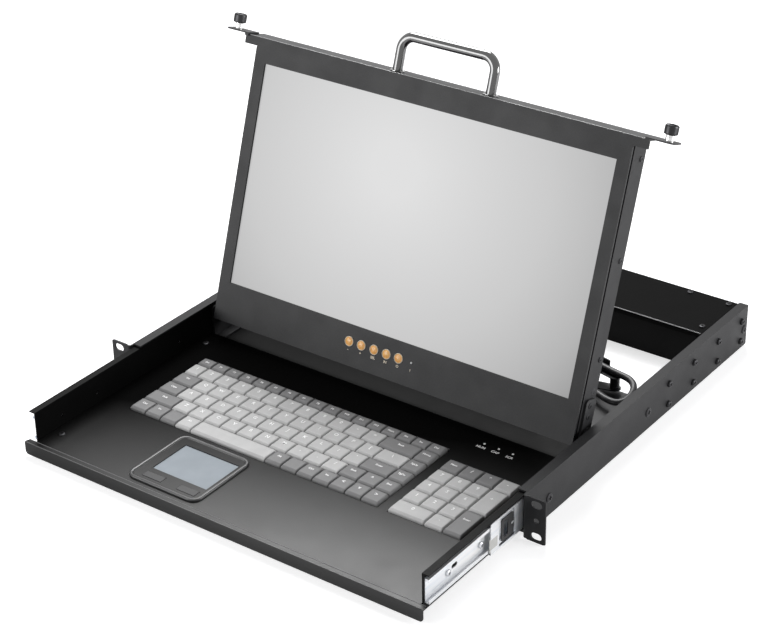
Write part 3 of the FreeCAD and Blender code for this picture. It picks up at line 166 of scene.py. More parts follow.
def floor():
    """Pale floor just under the part, which keeps a faint shadow."""
    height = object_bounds()[0][2] - MM
    mesh = bpy.data.meshes.new("floor")
    corners = [(x * FLOOR_HALF, y * FLOOR_HALF, height) for x, y in ((-1, -1), (1, -1), (1, 1), (-1, 1))]
    mesh.from_pydata(corners, [], [(0, 1, 2, 3)])
    plane = bpy.data.objects.new("floor", mesh)
    bpy.context.collection.objects.link(plane)
    material = bpy.data.materials.new("floor")
    material.use_nodes = True
    tree = material.node_tree
    tree.nodes.clear()
    output = tree.nodes.new("ShaderNodeOutputMaterial")
    both = tree.nodes.new("ShaderNodeAddShader")
    dull = tree.nodes.new("ShaderNodeBsdfDiffuse")
    dull.inputs["Color"].default_value = FLOOR_COLOUR
    glow = tree.nodes.new("ShaderNodeEmission")
    tree.links.new(looked_at(tree, 0.0, FLOOR_GLOW), glow.inputs["Strength"])
    tree.links.new(dull.outputs[0], both.inputs[0])
    tree.links.new(glow.outputs[0], both.inputs[1])
    tree.links.new(both.outputs[0], output.inputs["Surface"])
    mesh.materials.append(material)
    plane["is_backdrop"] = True


# ---- materials ----
class Shader:
    """A node material built up step by step around one Principled shader."""

    def __init__(self, name, colour, roughness, metallic=0.0, coat=0.0):
        self.material = bpy.data.materials.new(name)
        self.material.use_nodes = True
        self.tree = self.material.node_tree
        self.main = self.tree.nodes["Principled BSDF"]
        self.main.inputs["Base Color"].default_value = (*colour, 1)
        self.main.inputs["Roughness"].default_value = roughness
        self.main.inputs["Metallic"].default_value = metallic
        self.main.inputs["Coat Weight"].default_value = coat
        self.where = self.tree.nodes.new("ShaderNodeTexCoord").outputs["Object"]
        self.bump = None

    def node(self, kind):
        return self.tree.nodes.new(kind)

    def link(self, source, target):
        self.tree.links.new(source, target)

    def stretched(self, scale):
        mapping = self.node("ShaderNodeMapping")
        mapping.inputs["Scale"].default_value = scale
        self.link(self.where, mapping.inputs["Vector"])
        return mapping.outputs[0]

    def noise(self, scale, detail, stretch=(1, 1, 1)):
        texture = self.node("ShaderNodeTexNoise")
        texture.inputs["Scale"].default_value = scale
        texture.inputs["Detail"].default_value = detail
        self.link(self.stretched(stretch), texture.inputs["Vector"])
        return texture.outputs["Fac"]

    def ramp(self, factor, stops):
        ramp = self.node("ShaderNodeValToRGB")
        elements = ramp.color_ramp.elements
        while len(elements) < len(stops):
            elements.new(0.5)
        for element, (place, colour) in zip(elements, stops):
            element.position = place
            element.color = (*colour, 1)
        self.link(factor, ramp.inputs[0])
        return ramp.outputs[0]

    def colours(self, factor, stops):
        self.link(self.ramp(factor, stops), self.main.inputs["Base Color"])

    def spread(self, factor, low, high, start=0.0, end=1.0):
        """The factor mapped from start..end to low..high."""
        span = self.node("ShaderNodeMapRange")
        for socket, value in (("From Min", start), ("From Max", end), ("To Min", low), ("To Max", high)):
            span.inputs[socket].default_value = value
        self.link(factor, span.inputs["Value"])
        return span.outputs["Result"]

    def rough(self, factor, low, high):
        self.link(self.spread(factor, low, high), self.main.inputs["Roughness"])

    def relief(self, factor, depth, strength):
        """Adds a layer of bump over those made before it."""
        bump = self.node("ShaderNodeBump")
        bump.inputs["Distance"].default_value = depth
        bump.inputs["Strength"].default_value = strength
        self.link(factor, bump.inputs["Height"])
        if self.bump:
            self.link(self.bump.outputs[0], bump.inputs["Normal"])
        self.link(bump.outputs[0], self.main.inputs["Normal"])
        self.bump = bump


def scaled(colour, factor):
    return tuple(channel * factor for channel in colour)


def powder_shader(name, colour, roughness, grain, sheen):
    """Fine-textured powder coat: speckled colour, orange-peel relief and slight handling marks."""
    paint = Shader(name, colour, roughness)
    paint.main.inputs["Specular IOR Level"].default_value = sheen
    paint.colours(paint.noise(grain, 2), [(0.3, scaled(colour, 0.72)), (0.7, scaled(colour, 1.3))])
    paint.rough(paint.noise(35, 5), roughness - 0.1, roughness + 0.12)
    paint.relief(paint.noise(grain * 0.8, 3), 0.00006, 0.5)
    paint.relief(paint.noise(260, 2), 0.00004, 0.3)
    return paint


def powder_coat(name, colour, roughness, grain, sheen):
    return powder_shader(name, colour, roughness, grain, sheen).material


def screen_shaded_coat():
    """Deck coat with painted shade: its sheen is highest towards its front right and fades to none under
    the screen.
    """
    paint = powder_shader("deck_powder", (0.004, 0.004, 0.004), 0.36, 1400, 0.35)
    shade_slope = paint.node("ShaderNodeVectorMath")
    shade_slope.operation = "DOT_PRODUCT"
    shade_slope.inputs[1].default_value = (-0.4, 1, 0)
    paint.link(paint.where, shade_slope.inputs[0])
    # painted shade: the specular level falls towards the back and left, standing in for the screen's
    # shadow on the deck
    sheen = paint.spread(shade_slope.outputs["Value"], 0.33, 0.0, -0.16, 0.04)
    paint.link(sheen, paint.main.inputs["Specular IOR Level"])
    return paint.material


def moulded(name, colour, roughness, grain=1100):
    """Moulded plastic with a fine spark-eroded grain."""
    plastic = Shader(name, colour, roughness)
    plastic.colours(plastic.noise(60, 3), [(0.3, scaled(colour, 0.94)), (0.7, scaled(colour, 1.05))])
    plastic.rough(plastic.noise(grain, 2), roughness - 0.05, roughness + 0.1)
    plastic.relief(plastic.noise(grain, 3), 0.00003, 0.4)
    return plastic.material


def zinc_sheet():
    """Bright zinc-plated strip, drawn lengthwise, with a bluish passivation."""
    zinc = Shader("zinc_sheet", (0.62, 0.65, 0.72), 0.3, metallic=0.55)
    streaks = zinc.noise(900, 4, stretch=(1, 0.015, 1))
    tint = zinc.noise(14, 3, stretch=(1, 0.4, 1))
    mixed = zinc.node("ShaderNodeMath")
    mixed.operation = "MULTIPLY"
    zinc.link(streaks, mixed.inputs[0])
    zinc.link(tint, mixed.inputs[1])
    zinc.colours(mixed.outputs[0], [(0.12, (0.5, 0.59, 0.68)), (0.24, (0.73, 0.75, 0.78)),
                                    (0.4, (0.82, 0.82, 0.82))])
    zinc.rough(streaks, 0.22, 0.45)
    zinc.relief(streaks, 0.00003, 0.5)
    return zinc.material


def polished(name, colour, roughness):
    """Polished or plated metal with faint turning lines and fingerprints."""
    metal = Shader(name, colour, roughness, metallic=1.0)
    metal.colours(metal.noise(24, 4), [(0.35, scaled(colour, 0.85)), (0.65, scaled(colour, 1.1))])
    metal.rough(metal.noise(80, 4), roughness * 0.7, roughness * 1.5)
    metal.relief(metal.noise(700, 2), 0.00001, 0.3)
    return metal.material


def black_gloss():
    """Gloss black coating with a mirror-like clear layer and faint waviness."""
    gloss = Shader("black_gloss", (0.006, 0.006, 0.006), 0.12, coat=1.0)
    gloss.rough(gloss.noise(90, 3), 0.08, 0.2)
    gloss.colours(gloss.noise(200, 2), [(0.3, (0.004, 0.004, 0.004)), (0.7, (0.01, 0.01, 0.01))])
    gloss.main.inputs["Coat Roughness"].default_value = 0.05
    gloss.main.inputs["Coat IOR"].default_value = 1.8
    gloss.relief(gloss.noise(160, 2), 0.00001, 0.2)
    return gloss.material


def painted_glow_display():
    """Blank display with a painted glow and a painted highlight, brightest above its middle, under a satin
    surface.
    """
    glass = Shader("painted_glow_display", (0.02, 0.02, 0.02), 0.38)
    # painted highlight: the glow is brightest round a spot above the screen's middle and dims with
    # distance from it
    centre = glass.node("ShaderNodeVectorMath")
    centre.operation = "DISTANCE"
    centre.inputs[1].default_value = on_screen(-28, 152, -2)
    glass.link(glass.where, centre.inputs[0])
    soften = glass.node("ShaderNodeMath")
    soften.operation = "MULTIPLY_ADD"
    soften.inputs[1].default_value = 0.012
    glass.link(glass.noise(6, 2), soften.inputs[0])
    glass.link(centre.outputs["Value"], soften.inputs[2])
    glow_greys = [(0.03, 0.66), (0.17, 0.52), (0.205, 0.465), (0.24, 0.4), (0.275, 0.29)]
    colour = glass.ramp(soften.outputs[0], [(reach, (grey, grey, grey * 1.003)) for reach, grey in glow_greys])
    glass.link(colour, glass.main.inputs["Emission Color"])
    glass.main.inputs["Emission Strength"].default_value = 1.0
    glass.main.inputs["Specular IOR Level"].default_value = 0.2
    glass.relief(glass.noise(2600, 2), 0.00001, 0.2)
    return glass.material


def circuit_green():
    """Board with a net of lighter tracks."""
    board = Shader("circuit_green", (0.01, 0.12, 0.05), 0.35, coat=0.3)
    cells = board.node("ShaderNodeTexVoronoi")
    cells.feature = "DISTANCE_TO_EDGE"
    cells.inputs["Scale"].default_value = 160
    board.link(board.where, cells.inputs["Vector"])
    board.colours(cells.outputs["Distance"], [(0.02, (0.16, 0.3, 0.12)), (0.08, (0.012, 0.11, 0.045))])
    board.relief(cells.outputs["Distance"], 0.00005, 0.3)
    return board.material


def amber_button():
    """Slightly see-through amber rubber."""
    amber = Shader("amber_button", (0.86, 0.42, 0.12), 0.35, coat=0.2)
    amber.colours(amber.noise(420, 3), [(0.3, (0.78, 0.36, 0.09)), (0.7, (0.93, 0.52, 0.17))])
    amber.main.inputs["Subsurface Weight"].default_value = 0.15
    amber.main.inputs["Subsurface Scale"].default_value = 0.002
    amber.relief(amber.noise(1500, 2), 0.00002, 0.3)
    return amber.material


def cable_jacket():
    """Black cable skin with uneven sheen."""
    jacket = Shader("cable_jacket", (0.018, 0.018, 0.02), 0.42)
    marks = jacket.noise(420, 3)
    jacket.rough(marks, 0.34, 0.55)
    jacket.colours(marks, [(0.3, (0.012, 0.012, 0.013)), (0.7, (0.03, 0.03, 0.032))])
    jacket.relief(jacket.noise(700, 2), 0.00005, 0.4)
    return jacket.material


POWDER_COATS = {  # colour, roughness, grain, sheen
    "black_powder": ((0.014, 0.014, 0.015), 0.45, 1400, 0.17),
    "bezel_powder": ((0.012, 0.012, 0.013), 0.45, 1400, 0.24),
    "black_plain": ((0.008, 0.008, 0.009), 0.45, 900, 0.35),
    # painted shade: a far darker copy of the black coat for the tray pan, keyboard bases and rear box
    # base, where shade falls
    "inner_black": ((0.002, 0.002, 0.002), 0.5, 1400, 0.06),
    # painted shade: a darker copy of the black coat for the top of the rear box cover
    "cover_black": ((0.002, 0.002, 0.002), 0.34, 1400, 0.02),
    # painted highlight: lighter coat for the beads along the deck ledge and the key openings
    "fold_powder": ((0.06, 0.06, 0.062), 0.35, 1400, 0.5),
    "ring_powder": ((0.02, 0.02, 0.021), 0.34, 1400, 0.6),
    # painted highlight: lighter coat for the beads along the cover's front fold and the screen's top fold
    "edge_powder": ((0.22, 0.22, 0.225), 0.28, 1400, 1.0),
}
PLASTICS = {  # colour, roughness
    "white_plastic": ((0.46, 0.46, 0.445), 0.5),
    "black_plastic": ((0.007, 0.007, 0.008), 0.55),
    "key_light": ((0.43, 0.43, 0.43), 0.55),
    "key_dark": ((0.155, 0.155, 0.157), 0.55),
    "legend": ((0.86, 0.86, 0.86), 0.6),
    "pale_ring": ((0.75, 0.66, 0.52), 0.4),
    "lamp": ((0.35, 0.36, 0.36), 0.25),
}
METALS = {  # colour, roughness
    "screw_black": ((0.035, 0.035, 0.037), 0.4),
    "screw_zinc": ((0.55, 0.56, 0.58), 0.3),
    "silver_neck": ((0.8, 0.8, 0.8), 0.18),
    "knob": ((0.04, 0.04, 0.042), 0.32),
}
OWN_LOOK = {  # nodes that don't take their slot's look
    "status_lamps": "legend",
    "deck_plate": "deck_powder",
    "tray_pan": "inner_black",
    "keyboard_bases": "inner_black",
    "rear_box_base": "inner_black",
    "rear_box_cover": "cover_black",
    "touchpad_frame": "deck_powder",
    "lcd_bezel": "bezel_powder",
    "front_panel": "bezel_powder",
    "touch_button_left": "black_plastic",
    "touch_button_right": "black_plastic",
}
MATERIALS = {}


def make_materials():
    for recipe, table in ((powder_coat, POWDER_COATS), (moulded, PLASTICS), (polished, METALS)):
        for name, look in table.items():
            MATERIALS[name] = recipe(name, *look)
    MATERIALS["deck_powder"] = screen_shaded_coat()
    MATERIALS["zinc"] = zinc_sheet()
    MATERIALS["screen_glass"] = painted_glow_display()
    MATERIALS["board"] = circuit_green()
    MATERIALS["orange"] = amber_button()
    MATERIALS["chrome"] = black_gloss()
    MATERIALS["cable"] = cable_jacket()
    MATERIALS["pad"] = moulded("pad", (0.2, 0.23, 0.26), 0.55, 1500)
    MATERIALS["key_plastic"] = MATERIALS["key_light"]


def dress_frame():
    """Gives every carried-over node its detailed material."""
    slots = {part["node"]: part["material_slot"] for part in frame["record"]["subparts"]}
    for name, node in frame["nodes"].items():
        chosen = MATERIALS[OWN_LOOK.get(name, slots[name])]
        if not node.data.materials:
            node.data.materials.append(chosen)
        for index in range(len(node.data.materials)):
            node.data.materials[index] = chosen


# ---- mesh helpers ----
def piece(name, mesh, body, materials, replaced=()):
    """Adds a mesh to the scene as one piece that rides on a body."""
    item = bpy.data.objects.new(name, mesh)
    bpy.context.collection.objects.link(item)
    for material in materials:
        mesh.materials.append(MATERIALS[material])
    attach(item, body)
    if replaced:
        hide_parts(*replaced)


def evaluated_mesh(item):
    """Mesh of a curve, a text or a modified object, as it shows; the object itself goes."""
    bpy.context.collection.objects.link(item)
    bpy.context.view_layer.update()
    mesh = bpy.data.meshes.new_from_object(item.evaluated_get(bpy.context.evaluated_depsgraph_get()))
    bpy.data.objects.remove(item)
    return mesh


def tube(name, points, radius, kind, bevel_steps):
    """Round bar or cable along points: its curve object, and the spline in it."""
    curve = bpy.data.curves.new(name, "CURVE")
    curve.dimensions = "3D"
    curve.bevel_depth = radius
    curve.bevel_resolution = bevel_steps
    curve.use_fill_caps = True
    spline = curve.splines.new(kind)
    spline.points.add(len(points) - 1)
    for point, place in zip(spline.points, points):
        point.co = (*place, 1)
    return bpy.data.objects.new(name, curve), spline


def smoothed(mesh):
    for face in mesh.polygons:
        face.use_smooth = True
    return mesh


def millimetres(*pairs):
    return [(radius * MM, height * MM) for radius, height in pairs]


def finish_mesh(work, name, smooth_angle=35):
    """Closes the work into a mesh with outward normals, sharp where faces turn past the angle."""
    bmesh.ops.recalc_face_normals(work, faces=work.faces)
    for face in work.faces:
        face.smooth = True
    for edge in work.edges:
        if len(edge.link_faces) == 2 and edge.calc_face_angle(0) > math.radians(smooth_angle):
            edge.smooth = False
    mesh = bpy.data.meshes.new(name)
    work.to_mesh(mesh)
    work.free()
    return mesh


def ring_points(x, y, z, radius, steps=4):
    """Rounded rectangle at height z, as points in order."""
    points = []
    corners = ((x[1], y[0], -90), (x[1], y[1], 0), (x[0], y[1], 90), (x[0], y[0], 180))
    for cx, cy, start in corners:
        centre_x = cx - radius if cx == x[1] else cx + radius
        centre_y = cy - radius if cy == y[1] else cy + radius
        for step in range(steps + 1):
            angle = math.radians(start + 90 * step / steps)
            points.append((centre_x + radius * math.cos(angle), centre_y + radius * math.sin(angle), z))
    return points


def stack_rings(work, rings, material=0):
    """Joins rings of points into a skin, closed at both ends."""
    rows = [[work.verts.new(point) for point in ring] for ring in rings]
    faces = [face for low, high in zip(rows, rows[1:]) for face in bridge(work, low, high)]
    faces.append(work.faces.new(list(reversed(rows[0]))))
    faces.append(work.faces.new(rows[-1]))
    for face in faces:
        face.material_index = material


def loop_rings(work, rings):
    """Joins rings of points into a closed skin, from the last ring back to the first."""
    rows = [[work.verts.new(point) for point in ring] for ring in rings]
    for low, high in zip(rows, rows[1:] + rows[:1]):
        bridge(work, low, high)


def bridge(work, low, high):
    """Faces between two rings of as many vertices each."""
    after = [(k + 1) % len(low) for k in range(len(low))]
    return [work.faces.new((low[k], low[n], high[n], high[k])) for k, n in enumerate(after)]


def lathe(work, profile, origin, axis, segments=32, shape=None):
    """Turned piece: profile is (radius, height) pairs along axis from origin; shape varies the radius."""
    turn = Vector(axis).to_track_quat("Z", "Y").to_matrix()
    rings = []
    for radius, height in profile:
        ring = []
        for k in range(segments):
            angle = 2 * math.pi * k / segments
            reach = radius * (shape(k, radius, height) if shape else 1)
            spoke = Vector((reach * math.cos(angle), reach * math.sin(angle), height))
            ring.append(Vector(origin) + turn @ spoke)
        rings.append(ring)
    stack_rings(work, rings)


# ---- repeated parts through geometry nodes ----
def screw_prototype(radius, height):
    """Pan head with a cross recess, its size in millimetres."""
    radius, height = radius * MM, height * MM
    work = bmesh.new()
    crown = [(radius * 0.98, 0), (radius, height * 0.35), (radius * 0.93, height * 0.7),
             (radius * 0.75, height * 0.92), (radius * 0.5, height)]
    lathe(work, crown, (0, 0, 0), (0, 0, 1), 28)
    cross = bmesh.new()
    arm = radius * 0.52
    thin = radius * 0.13
    for x, y in ((arm, thin), (thin, arm)):
        bar = bmesh.ops.create_cube(cross, size=1)["verts"]
        bmesh.ops.scale(cross, vec=(2 * x, 2 * y, height * 1.2), verts=bar)
        bmesh.ops.translate(cross, vec=(0, 0, height), verts=bar)
    cutter = bpy.data.meshes.new("cross")
    cross.to_mesh(cutter)
    cross.free()
    return carved(finish_mesh(work, "screw_head"), cutter)


def carved(mesh, cutter_mesh):
    """Mesh less the cutter, whose bars may cross each other."""
    body = bpy.data.objects.new("carve_body", mesh)
    cutter = bpy.data.objects.new("carve_cutter", cutter_mesh)
    bpy.context.collection.objects.link(cutter)
    boolean = body.modifiers.new("cut", "BOOLEAN")
    boolean.object = cutter
    boolean.solver = "EXACT"
    boolean.use_self = True
    result = evaluated_mesh(body)
    bpy.data.objects.remove(cutter)
    return result


def repeated(name, prototype, places, material):
    """Mesh of the prototype standing at each (point, outward direction), made by geometry nodes."""
    cloud = bpy.data.meshes.new(name + "_points")
    cloud.from_pydata([tuple(point) for point, _ in places], [], [])
    turn = cloud.attributes.new("turn", "FLOAT_VECTOR", "POINT")
    for index, (_, out) in enumerate(places):
        turn.data[index].vector = Vector(out).to_track_quat("Z", "Y").to_euler()
    host = bpy.data.objects.new(name + "_host", cloud)
    source = bpy.data.objects.new(name + "_source", prototype)
    bpy.context.collection.objects.link(source)
    tree = bpy.data.node_groups.new(name, "GeometryNodeTree")
    tree.interface.new_socket("Geometry", in_out="INPUT", socket_type="NodeSocketGeometry")
    tree.interface.new_socket("Geometry", in_out="OUTPUT", socket_type="NodeSocketGeometry")
    nodes, links = tree.nodes, tree.links
    start = nodes.new("NodeGroupInput")
    end = nodes.new("NodeGroupOutput")
    info = nodes.new("GeometryNodeObjectInfo")
    info.inputs["Object"].default_value = source
    direction = nodes.new("GeometryNodeInputNamedAttribute")
    direction.data_type = "FLOAT_VECTOR"
    direction.inputs["Name"].default_value = "turn"
    spread = nodes.new("GeometryNodeInstanceOnPoints")
    real = nodes.new("GeometryNodeRealizeInstances")
    paint = nodes.new("GeometryNodeSetMaterial")
    paint.inputs["Material"].default_value = MATERIALS[material]
    links.new(start.outputs[0], spread.inputs["Points"])
    links.new(info.outputs["Geometry"], spread.inputs["Instance"])
    links.new(direction.outputs["Attribute"], spread.inputs["Rotation"])
    links.new(spread.outputs[0], real.inputs[0])
    links.new(real.outputs[0], paint.inputs["Geometry"])
    links.new(paint.outputs[0], end.inputs[0])
    host.modifiers.new("repeat", "NODES").node_group = tree
    mesh = evaluated_mesh(host)
    mesh.materials.clear()
    bpy.data.objects.remove(source)
    return mesh


def joined(name, meshes):
    work = bmesh.new()
    for mesh in meshes:
        work.from_mesh(mesh)
    result = bpy.data.meshes.new(name)
    work.to_mesh(result)
    work.free()
    return result


def on_both_sides(x, spots):
    """Places at x and at -x, each facing outward, for the (y, z) spots of one side."""
    return [((side * x, y, z), (side, 0, 0)) for side in (1, -1) for y, z in spots]


# Screw places in metres; those on the screen in millimetres on its own axes.
SIDE_FACE = 0.2202
STUDS = [(y, z) for y in (0.2454, 0.2926, 0.3399, 0.3868) for z in (0.0086, -0.013)]
SLIDE_STUDS = [(y, -0.003) for y in (0.0397, 0.2078, 0.3929)]
COVER_SCREWS = ((-0.2024, 0.3395), (0.2024, 0.3395), (-0.2024, 0.3924), (0.2024, 0.3924), (0.16, 0.3935))
DECK_SCREWS = [(x, y) for x in (-0.201, 0.201) for y in (-0.1144, 0.0864)]
WALL_FACE = 0.2129
WALL_SCREWS = [(y, 0.0005) for y in (-0.102, -0.055, 0.06, 0.13)]
SCREW_END = millimetres((2.6, 0), (2.6, 0.2), (0.4, 0.3))
HOUSING_EDGE = 203.6
HOUSING_DEPTH = -20
HOUSING_SCREWS_V = (216.5, 126.4, 37.2)
FLUSH_SCREW_V = 7.5
LEAF_EDGE = 205.7
LEAF_DEPTH = -15
LEAF_SCREWS_V = (-14, -4)


def chassis_screws():
    cover_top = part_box("rear_box_cover")[1][2]
    cover = [((x, y, cover_top), (0, 0, 1)) for x, y in COVER_SCREWS]
    heads = joined("chassis_screw_heads", [
        repeated("studs", screw_prototype(3.3, 2.6), on_both_sides(SIDE_FACE, STUDS), "screw_black"),
        repeated("rails", screw_prototype(4.4, 1.2), on_both_sides(SIDE_FACE, SLIDE_STUDS), "screw_black"),
        repeated("cover", screw_prototype(3.0, 1.2), cover, "screw_black")])
    piece("chassis_screw_heads", heads, "chassis", ["screw_black"], ["chassis_screws"])


def tray_screws():
    deck = [((x, y, DECK_TOP), (0, 0, 1)) for x, y in DECK_SCREWS]
    heads = repeated("deck_screw_heads", screw_prototype(3.2, 1.1), deck, "screw_black")
    piece("deck_screw_heads", heads, "tray", ["screw_black"], ["tray_screws"])
    wall = on_both_sides(WALL_FACE, WALL_SCREWS)
    heads = repeated("slide_screw_heads", screw_prototype(3.1, 2.2), wall, "screw_zinc")
    piece("slide_screw_heads", heads, "tray", ["screw_zinc"])
    # Dark discs over the screw ends inside the wall, in the painted-shade black, so they sink into the
    # shade there.
    work = bmesh.new()
    for place, out in wall:
        inward = -Vector(out)
        lathe(work, SCREW_END, Vector(place) + inward * 0.2 * MM, inward)
    ends = finish_mesh(work, "slide_screw_ends")
    piece("slide_screw_ends", ends, "tray", ["inner_black"])


def screen_screws():
    def edges(u, heights, depth):
        return [(on_screen(side * u, v, depth), (side, 0, 0)) for side in (-1, 1) for v in heights]
    housing = edges(HOUSING_EDGE, HOUSING_SCREWS_V, HOUSING_DEPTH)
    leaves = edges(LEAF_EDGE, LEAF_SCREWS_V, LEAF_DEPTH)
    flush = edges(HOUSING_EDGE, (FLUSH_SCREW_V,), HOUSING_DEPTH)
    heads = joined("screen_screw_heads", [
        repeated("housing_screws", screw_prototype(2.6, 1.0), housing, "screw_black"),
        repeated("leaf_screws", screw_prototype(2.6, 0.8), leaves, "screw_black"),
        repeated("flush_screws", screw_prototype(3.4, 0.3), flush, "screw_black")])
    piece("screen_screw_heads", heads, "screen", ["screw_black"])


# ---- painted highlights along the folds ----
BEAD = 0.45 * MM
BEAD_SINK = 0.12 * MM
COVER_BEAD_IN = 0.5 * MM
LEDGE_TOP = -8.7 * MM
LEDGE_LINES_Y = (-0.1437, -0.1387)
LEDGE_HALF = 0.2175
OPENING_LINES = (1.3 * MM, 2.8 * MM)
SCREEN_TOP_FOLD = (217, 237.38, -0.5)


def beads(name, body, lines, material="edge_powder"):
    """Rounded bars with domed ends, one along each line."""
    work = bmesh.new()
    for start, end in lines:
        start, end = Vector(start), Vector(end)
        length = (end - start).length
        profile = [(BEAD * 0.5, 0), (BEAD * 0.9, BEAD * 0.4), (BEAD, BEAD), (BEAD, length - BEAD),
                   (BEAD * 0.9, length - BEAD * 0.4), (BEAD * 0.5, length)]
        lathe(work, profile, start, end - start, 12)
    piece(name, finish_mesh(work, name), body, [material])


def painted_highlight_lines():
    """Rounded beads of a lighter coat along the main folds: a painted highlight where the bends catch the
    light.
    """
    low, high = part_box("rear_box_cover")
    y, z = low[1] + COVER_BEAD_IN, high[2] - BEAD_SINK
    beads("cover_edge", "chassis", [((low[0] + MM, y, z), (high[0] - MM, y, z))])
    z = LEDGE_TOP - BEAD_SINK
    ledge = [((-LEDGE_HALF, y, z), (LEDGE_HALF, y, z)) for y in LEDGE_LINES_Y]
    beads("deck_edges", "tray", ledge, "fold_powder")
    openings = ((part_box("key_row_6")[0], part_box("key_row_1")[1]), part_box("numpad_keys"))
    backs = [((low[0], high[1] + gap, DECK_TOP), (high[0], high[1] + gap, DECK_TOP))
             for low, high in openings for gap in OPENING_LINES]
    beads("opening_edges", "tray", backs, "fold_powder")
    half, v, w = SCREEN_TOP_FOLD
    beads("screen_edge", "screen", [(on_screen(-half, v, w), on_screen(half, v, w))])


# ---- keys ----
KEY_GAP = 0.9 * MM
NAV = 17.6 / 19.1
ROW_WIDTHS = {
    1: [1] * 17,
    2: [0.84] + [1] * 11 + [2, NAV],
    3: [1.3] + [1] * 11 + [1.54, NAV],
    4: [1.2] + [1] * 11 + [1.64, NAV],
    5: [1.75] + [1] * 10 + [1.09, 1, NAV],
    6: [0.95] * 4 + [4.51] + [0.9217] * 6 + [NAV],
}
ROW_LEGENDS = {
    1: ["Esc"] + ["F%d" % k for k in range(1, 13)] + ["Num", "Prt", "Ins", "Del"],
    2: list("1234567890-=") + ["Back", "Home"],
    3: ["Tab"] + list("QWERTYUIOP[") + ["\\", "PgUp"],
    4: ["Caps"] + list("ASDFGHJKL;'") + ["Enter", "PgDn"],
    5: ["Shift"] + list("ZXCVBNM,./") + ["Shift", "^", "End"],
    6: ["Ctrl", "Fn", "", "Alt", "", "Alt", "", "Ctrl", "Ins", "<", "v", ">"],
}
DARK_KEYS = {1: range(17), 2: (12, 13), 3: (0, 13), 4: (0, 12, 13), 5: (0, 11, 12, 13),
             6: (0, 1, 2, 5, 6, 7, 8, 9, 10, 11)}
NUMPAD = [(0, 4, 1, 1, "Num", 1), (1, 4, 1, 1, "/", 1), (2, 4, 1, 1, "*", 1), (3, 4, 1, 1, "-", 0),
          (0, 3, 1, 1, "7", 0), (1, 3, 1, 1, "8", 0), (2, 3, 1, 1, "9", 0), (3, 2, 1, 2, "+", 0),
          (0, 2, 1, 1, "4", 0), (1, 2, 1, 1, "5", 0), (2, 2, 1, 1, "6", 0), (0, 1, 1, 1, "1", 0),
          (1, 1, 1, 1, "2", 0), (2, 1, 1, 1, "3", 0), (3, 0, 1, 2, "Enter", 1), (0, 0, 2, 1, "0", 0),
          (2, 0, 1, 1, ".", 0)]


# Key caps in millimetres: skirt height, corner radii, how far each bevel goes in, and the dish.
KEY_HEIGHT = 5.5
SKIRT_DROP = 1.9
SKIRT_CORNER = 0.7
SHOULDER_CORNER = 1.0
SIDE_BEVEL = 0.9
FRONT_BEVEL = 2.5
SHOULDER = ((0.0, 1.75), (0.35, 1.2), (0.8, 0.35), (1.0, 0.1), (1.18, 0.0))
DISH_IN = 3.0
DISH_DEPTH = 0.12
DISH_CORNER = 1.2


def key_cap(work, x, y, top, dark):
    """Key with upright skirt, a long front bevel, short side bevels and a shallow dish."""
    def ring(side, front, back, drop, radius):
        return ring_points((x[0] + side * MM, x[1] - side * MM), (y[0] + front * MM, y[1] - back * MM),
                           top - drop * MM, radius * MM)
    rings = [ring(0, 0, 0, drop, SKIRT_CORNER) for drop in (KEY_HEIGHT, SKIRT_DROP)]
    for share, drop in SHOULDER:
        side = SIDE_BEVEL * share
        rings.append(ring(side, FRONT_BEVEL * share, side, drop, SHOULDER_CORNER))
    rings.append(ring(DISH_IN, FRONT_BEVEL + DISH_IN * 0.5, DISH_IN, DISH_DEPTH, DISH_CORNER))
    stack_rings(work, rings, 1 if dark else 0)


def lettering(name, items, body, material):
    """Printed characters of one body: items are (text, size, place, turn)."""
    work = bmesh.new()
    for text, size, place, turn in items:
        curve = bpy.data.curves.new("letters", "FONT")
        curve.body = text
        curve.size = size
        curve.extrude = 0.04 * MM
        curve.offset = size * 0.025
        curve.resolution_u = 3
        curve.align_x = "CENTER"
        curve.align_y = "CENTER"
        mesh = evaluated_mesh(bpy.data.objects.new("letters", curve))
        mesh.transform(Matrix.Translation(place) @ turn.to_4x4())
        work.from_mesh(mesh)
        bpy.data.meshes.remove(mesh)
    mesh = bpy.data.meshes.new(name)
    work.to_mesh(mesh)
    work.free()
    piece(name, mesh, body, [material])


LETTER_SIZE = 5.4 * MM
WORD_SIZE = 3.3 * MM
LEGEND_LEFT = 0.4 * MM
LEGEND_SINK = 0.02 * MM
ROW_DEPTH = 0.014


def legend_item(text, x, y, top):
    """Legend of one key, a little above its middle; shallower keys carry it nearer the middle."""
    depth = y[1] - y[0]
    size = min(LETTER_SIZE if len(text) == 1 else WORD_SIZE, depth * 0.38)
    down = 0.36 if depth > ROW_DEPTH else 0.45
    place = Vector(((x[0] + x[1]) / 2 - LEGEND_LEFT, y[1] - depth * down, top - LEGEND_SINK))
    return (text, size, place, UPRIGHT)


def key_block(name, body, node, cells):
    """Caps and legends of one body; cells are (x, y, text, dark)."""
    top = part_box(node)[1][2]
    work = bmesh.new()
    items = []
    for x, y, text, dark in cells:
        key_cap(work, x, y, top, dark)
        if text:
            items.append(legend_item(text, x, y, top))
    caps = finish_mesh(work, name + "_caps", 50)
    piece(name + "_caps", caps, body, ["key_light", "key_dark"], [node])
    lettering(name + "_legends", items, body, "legend")


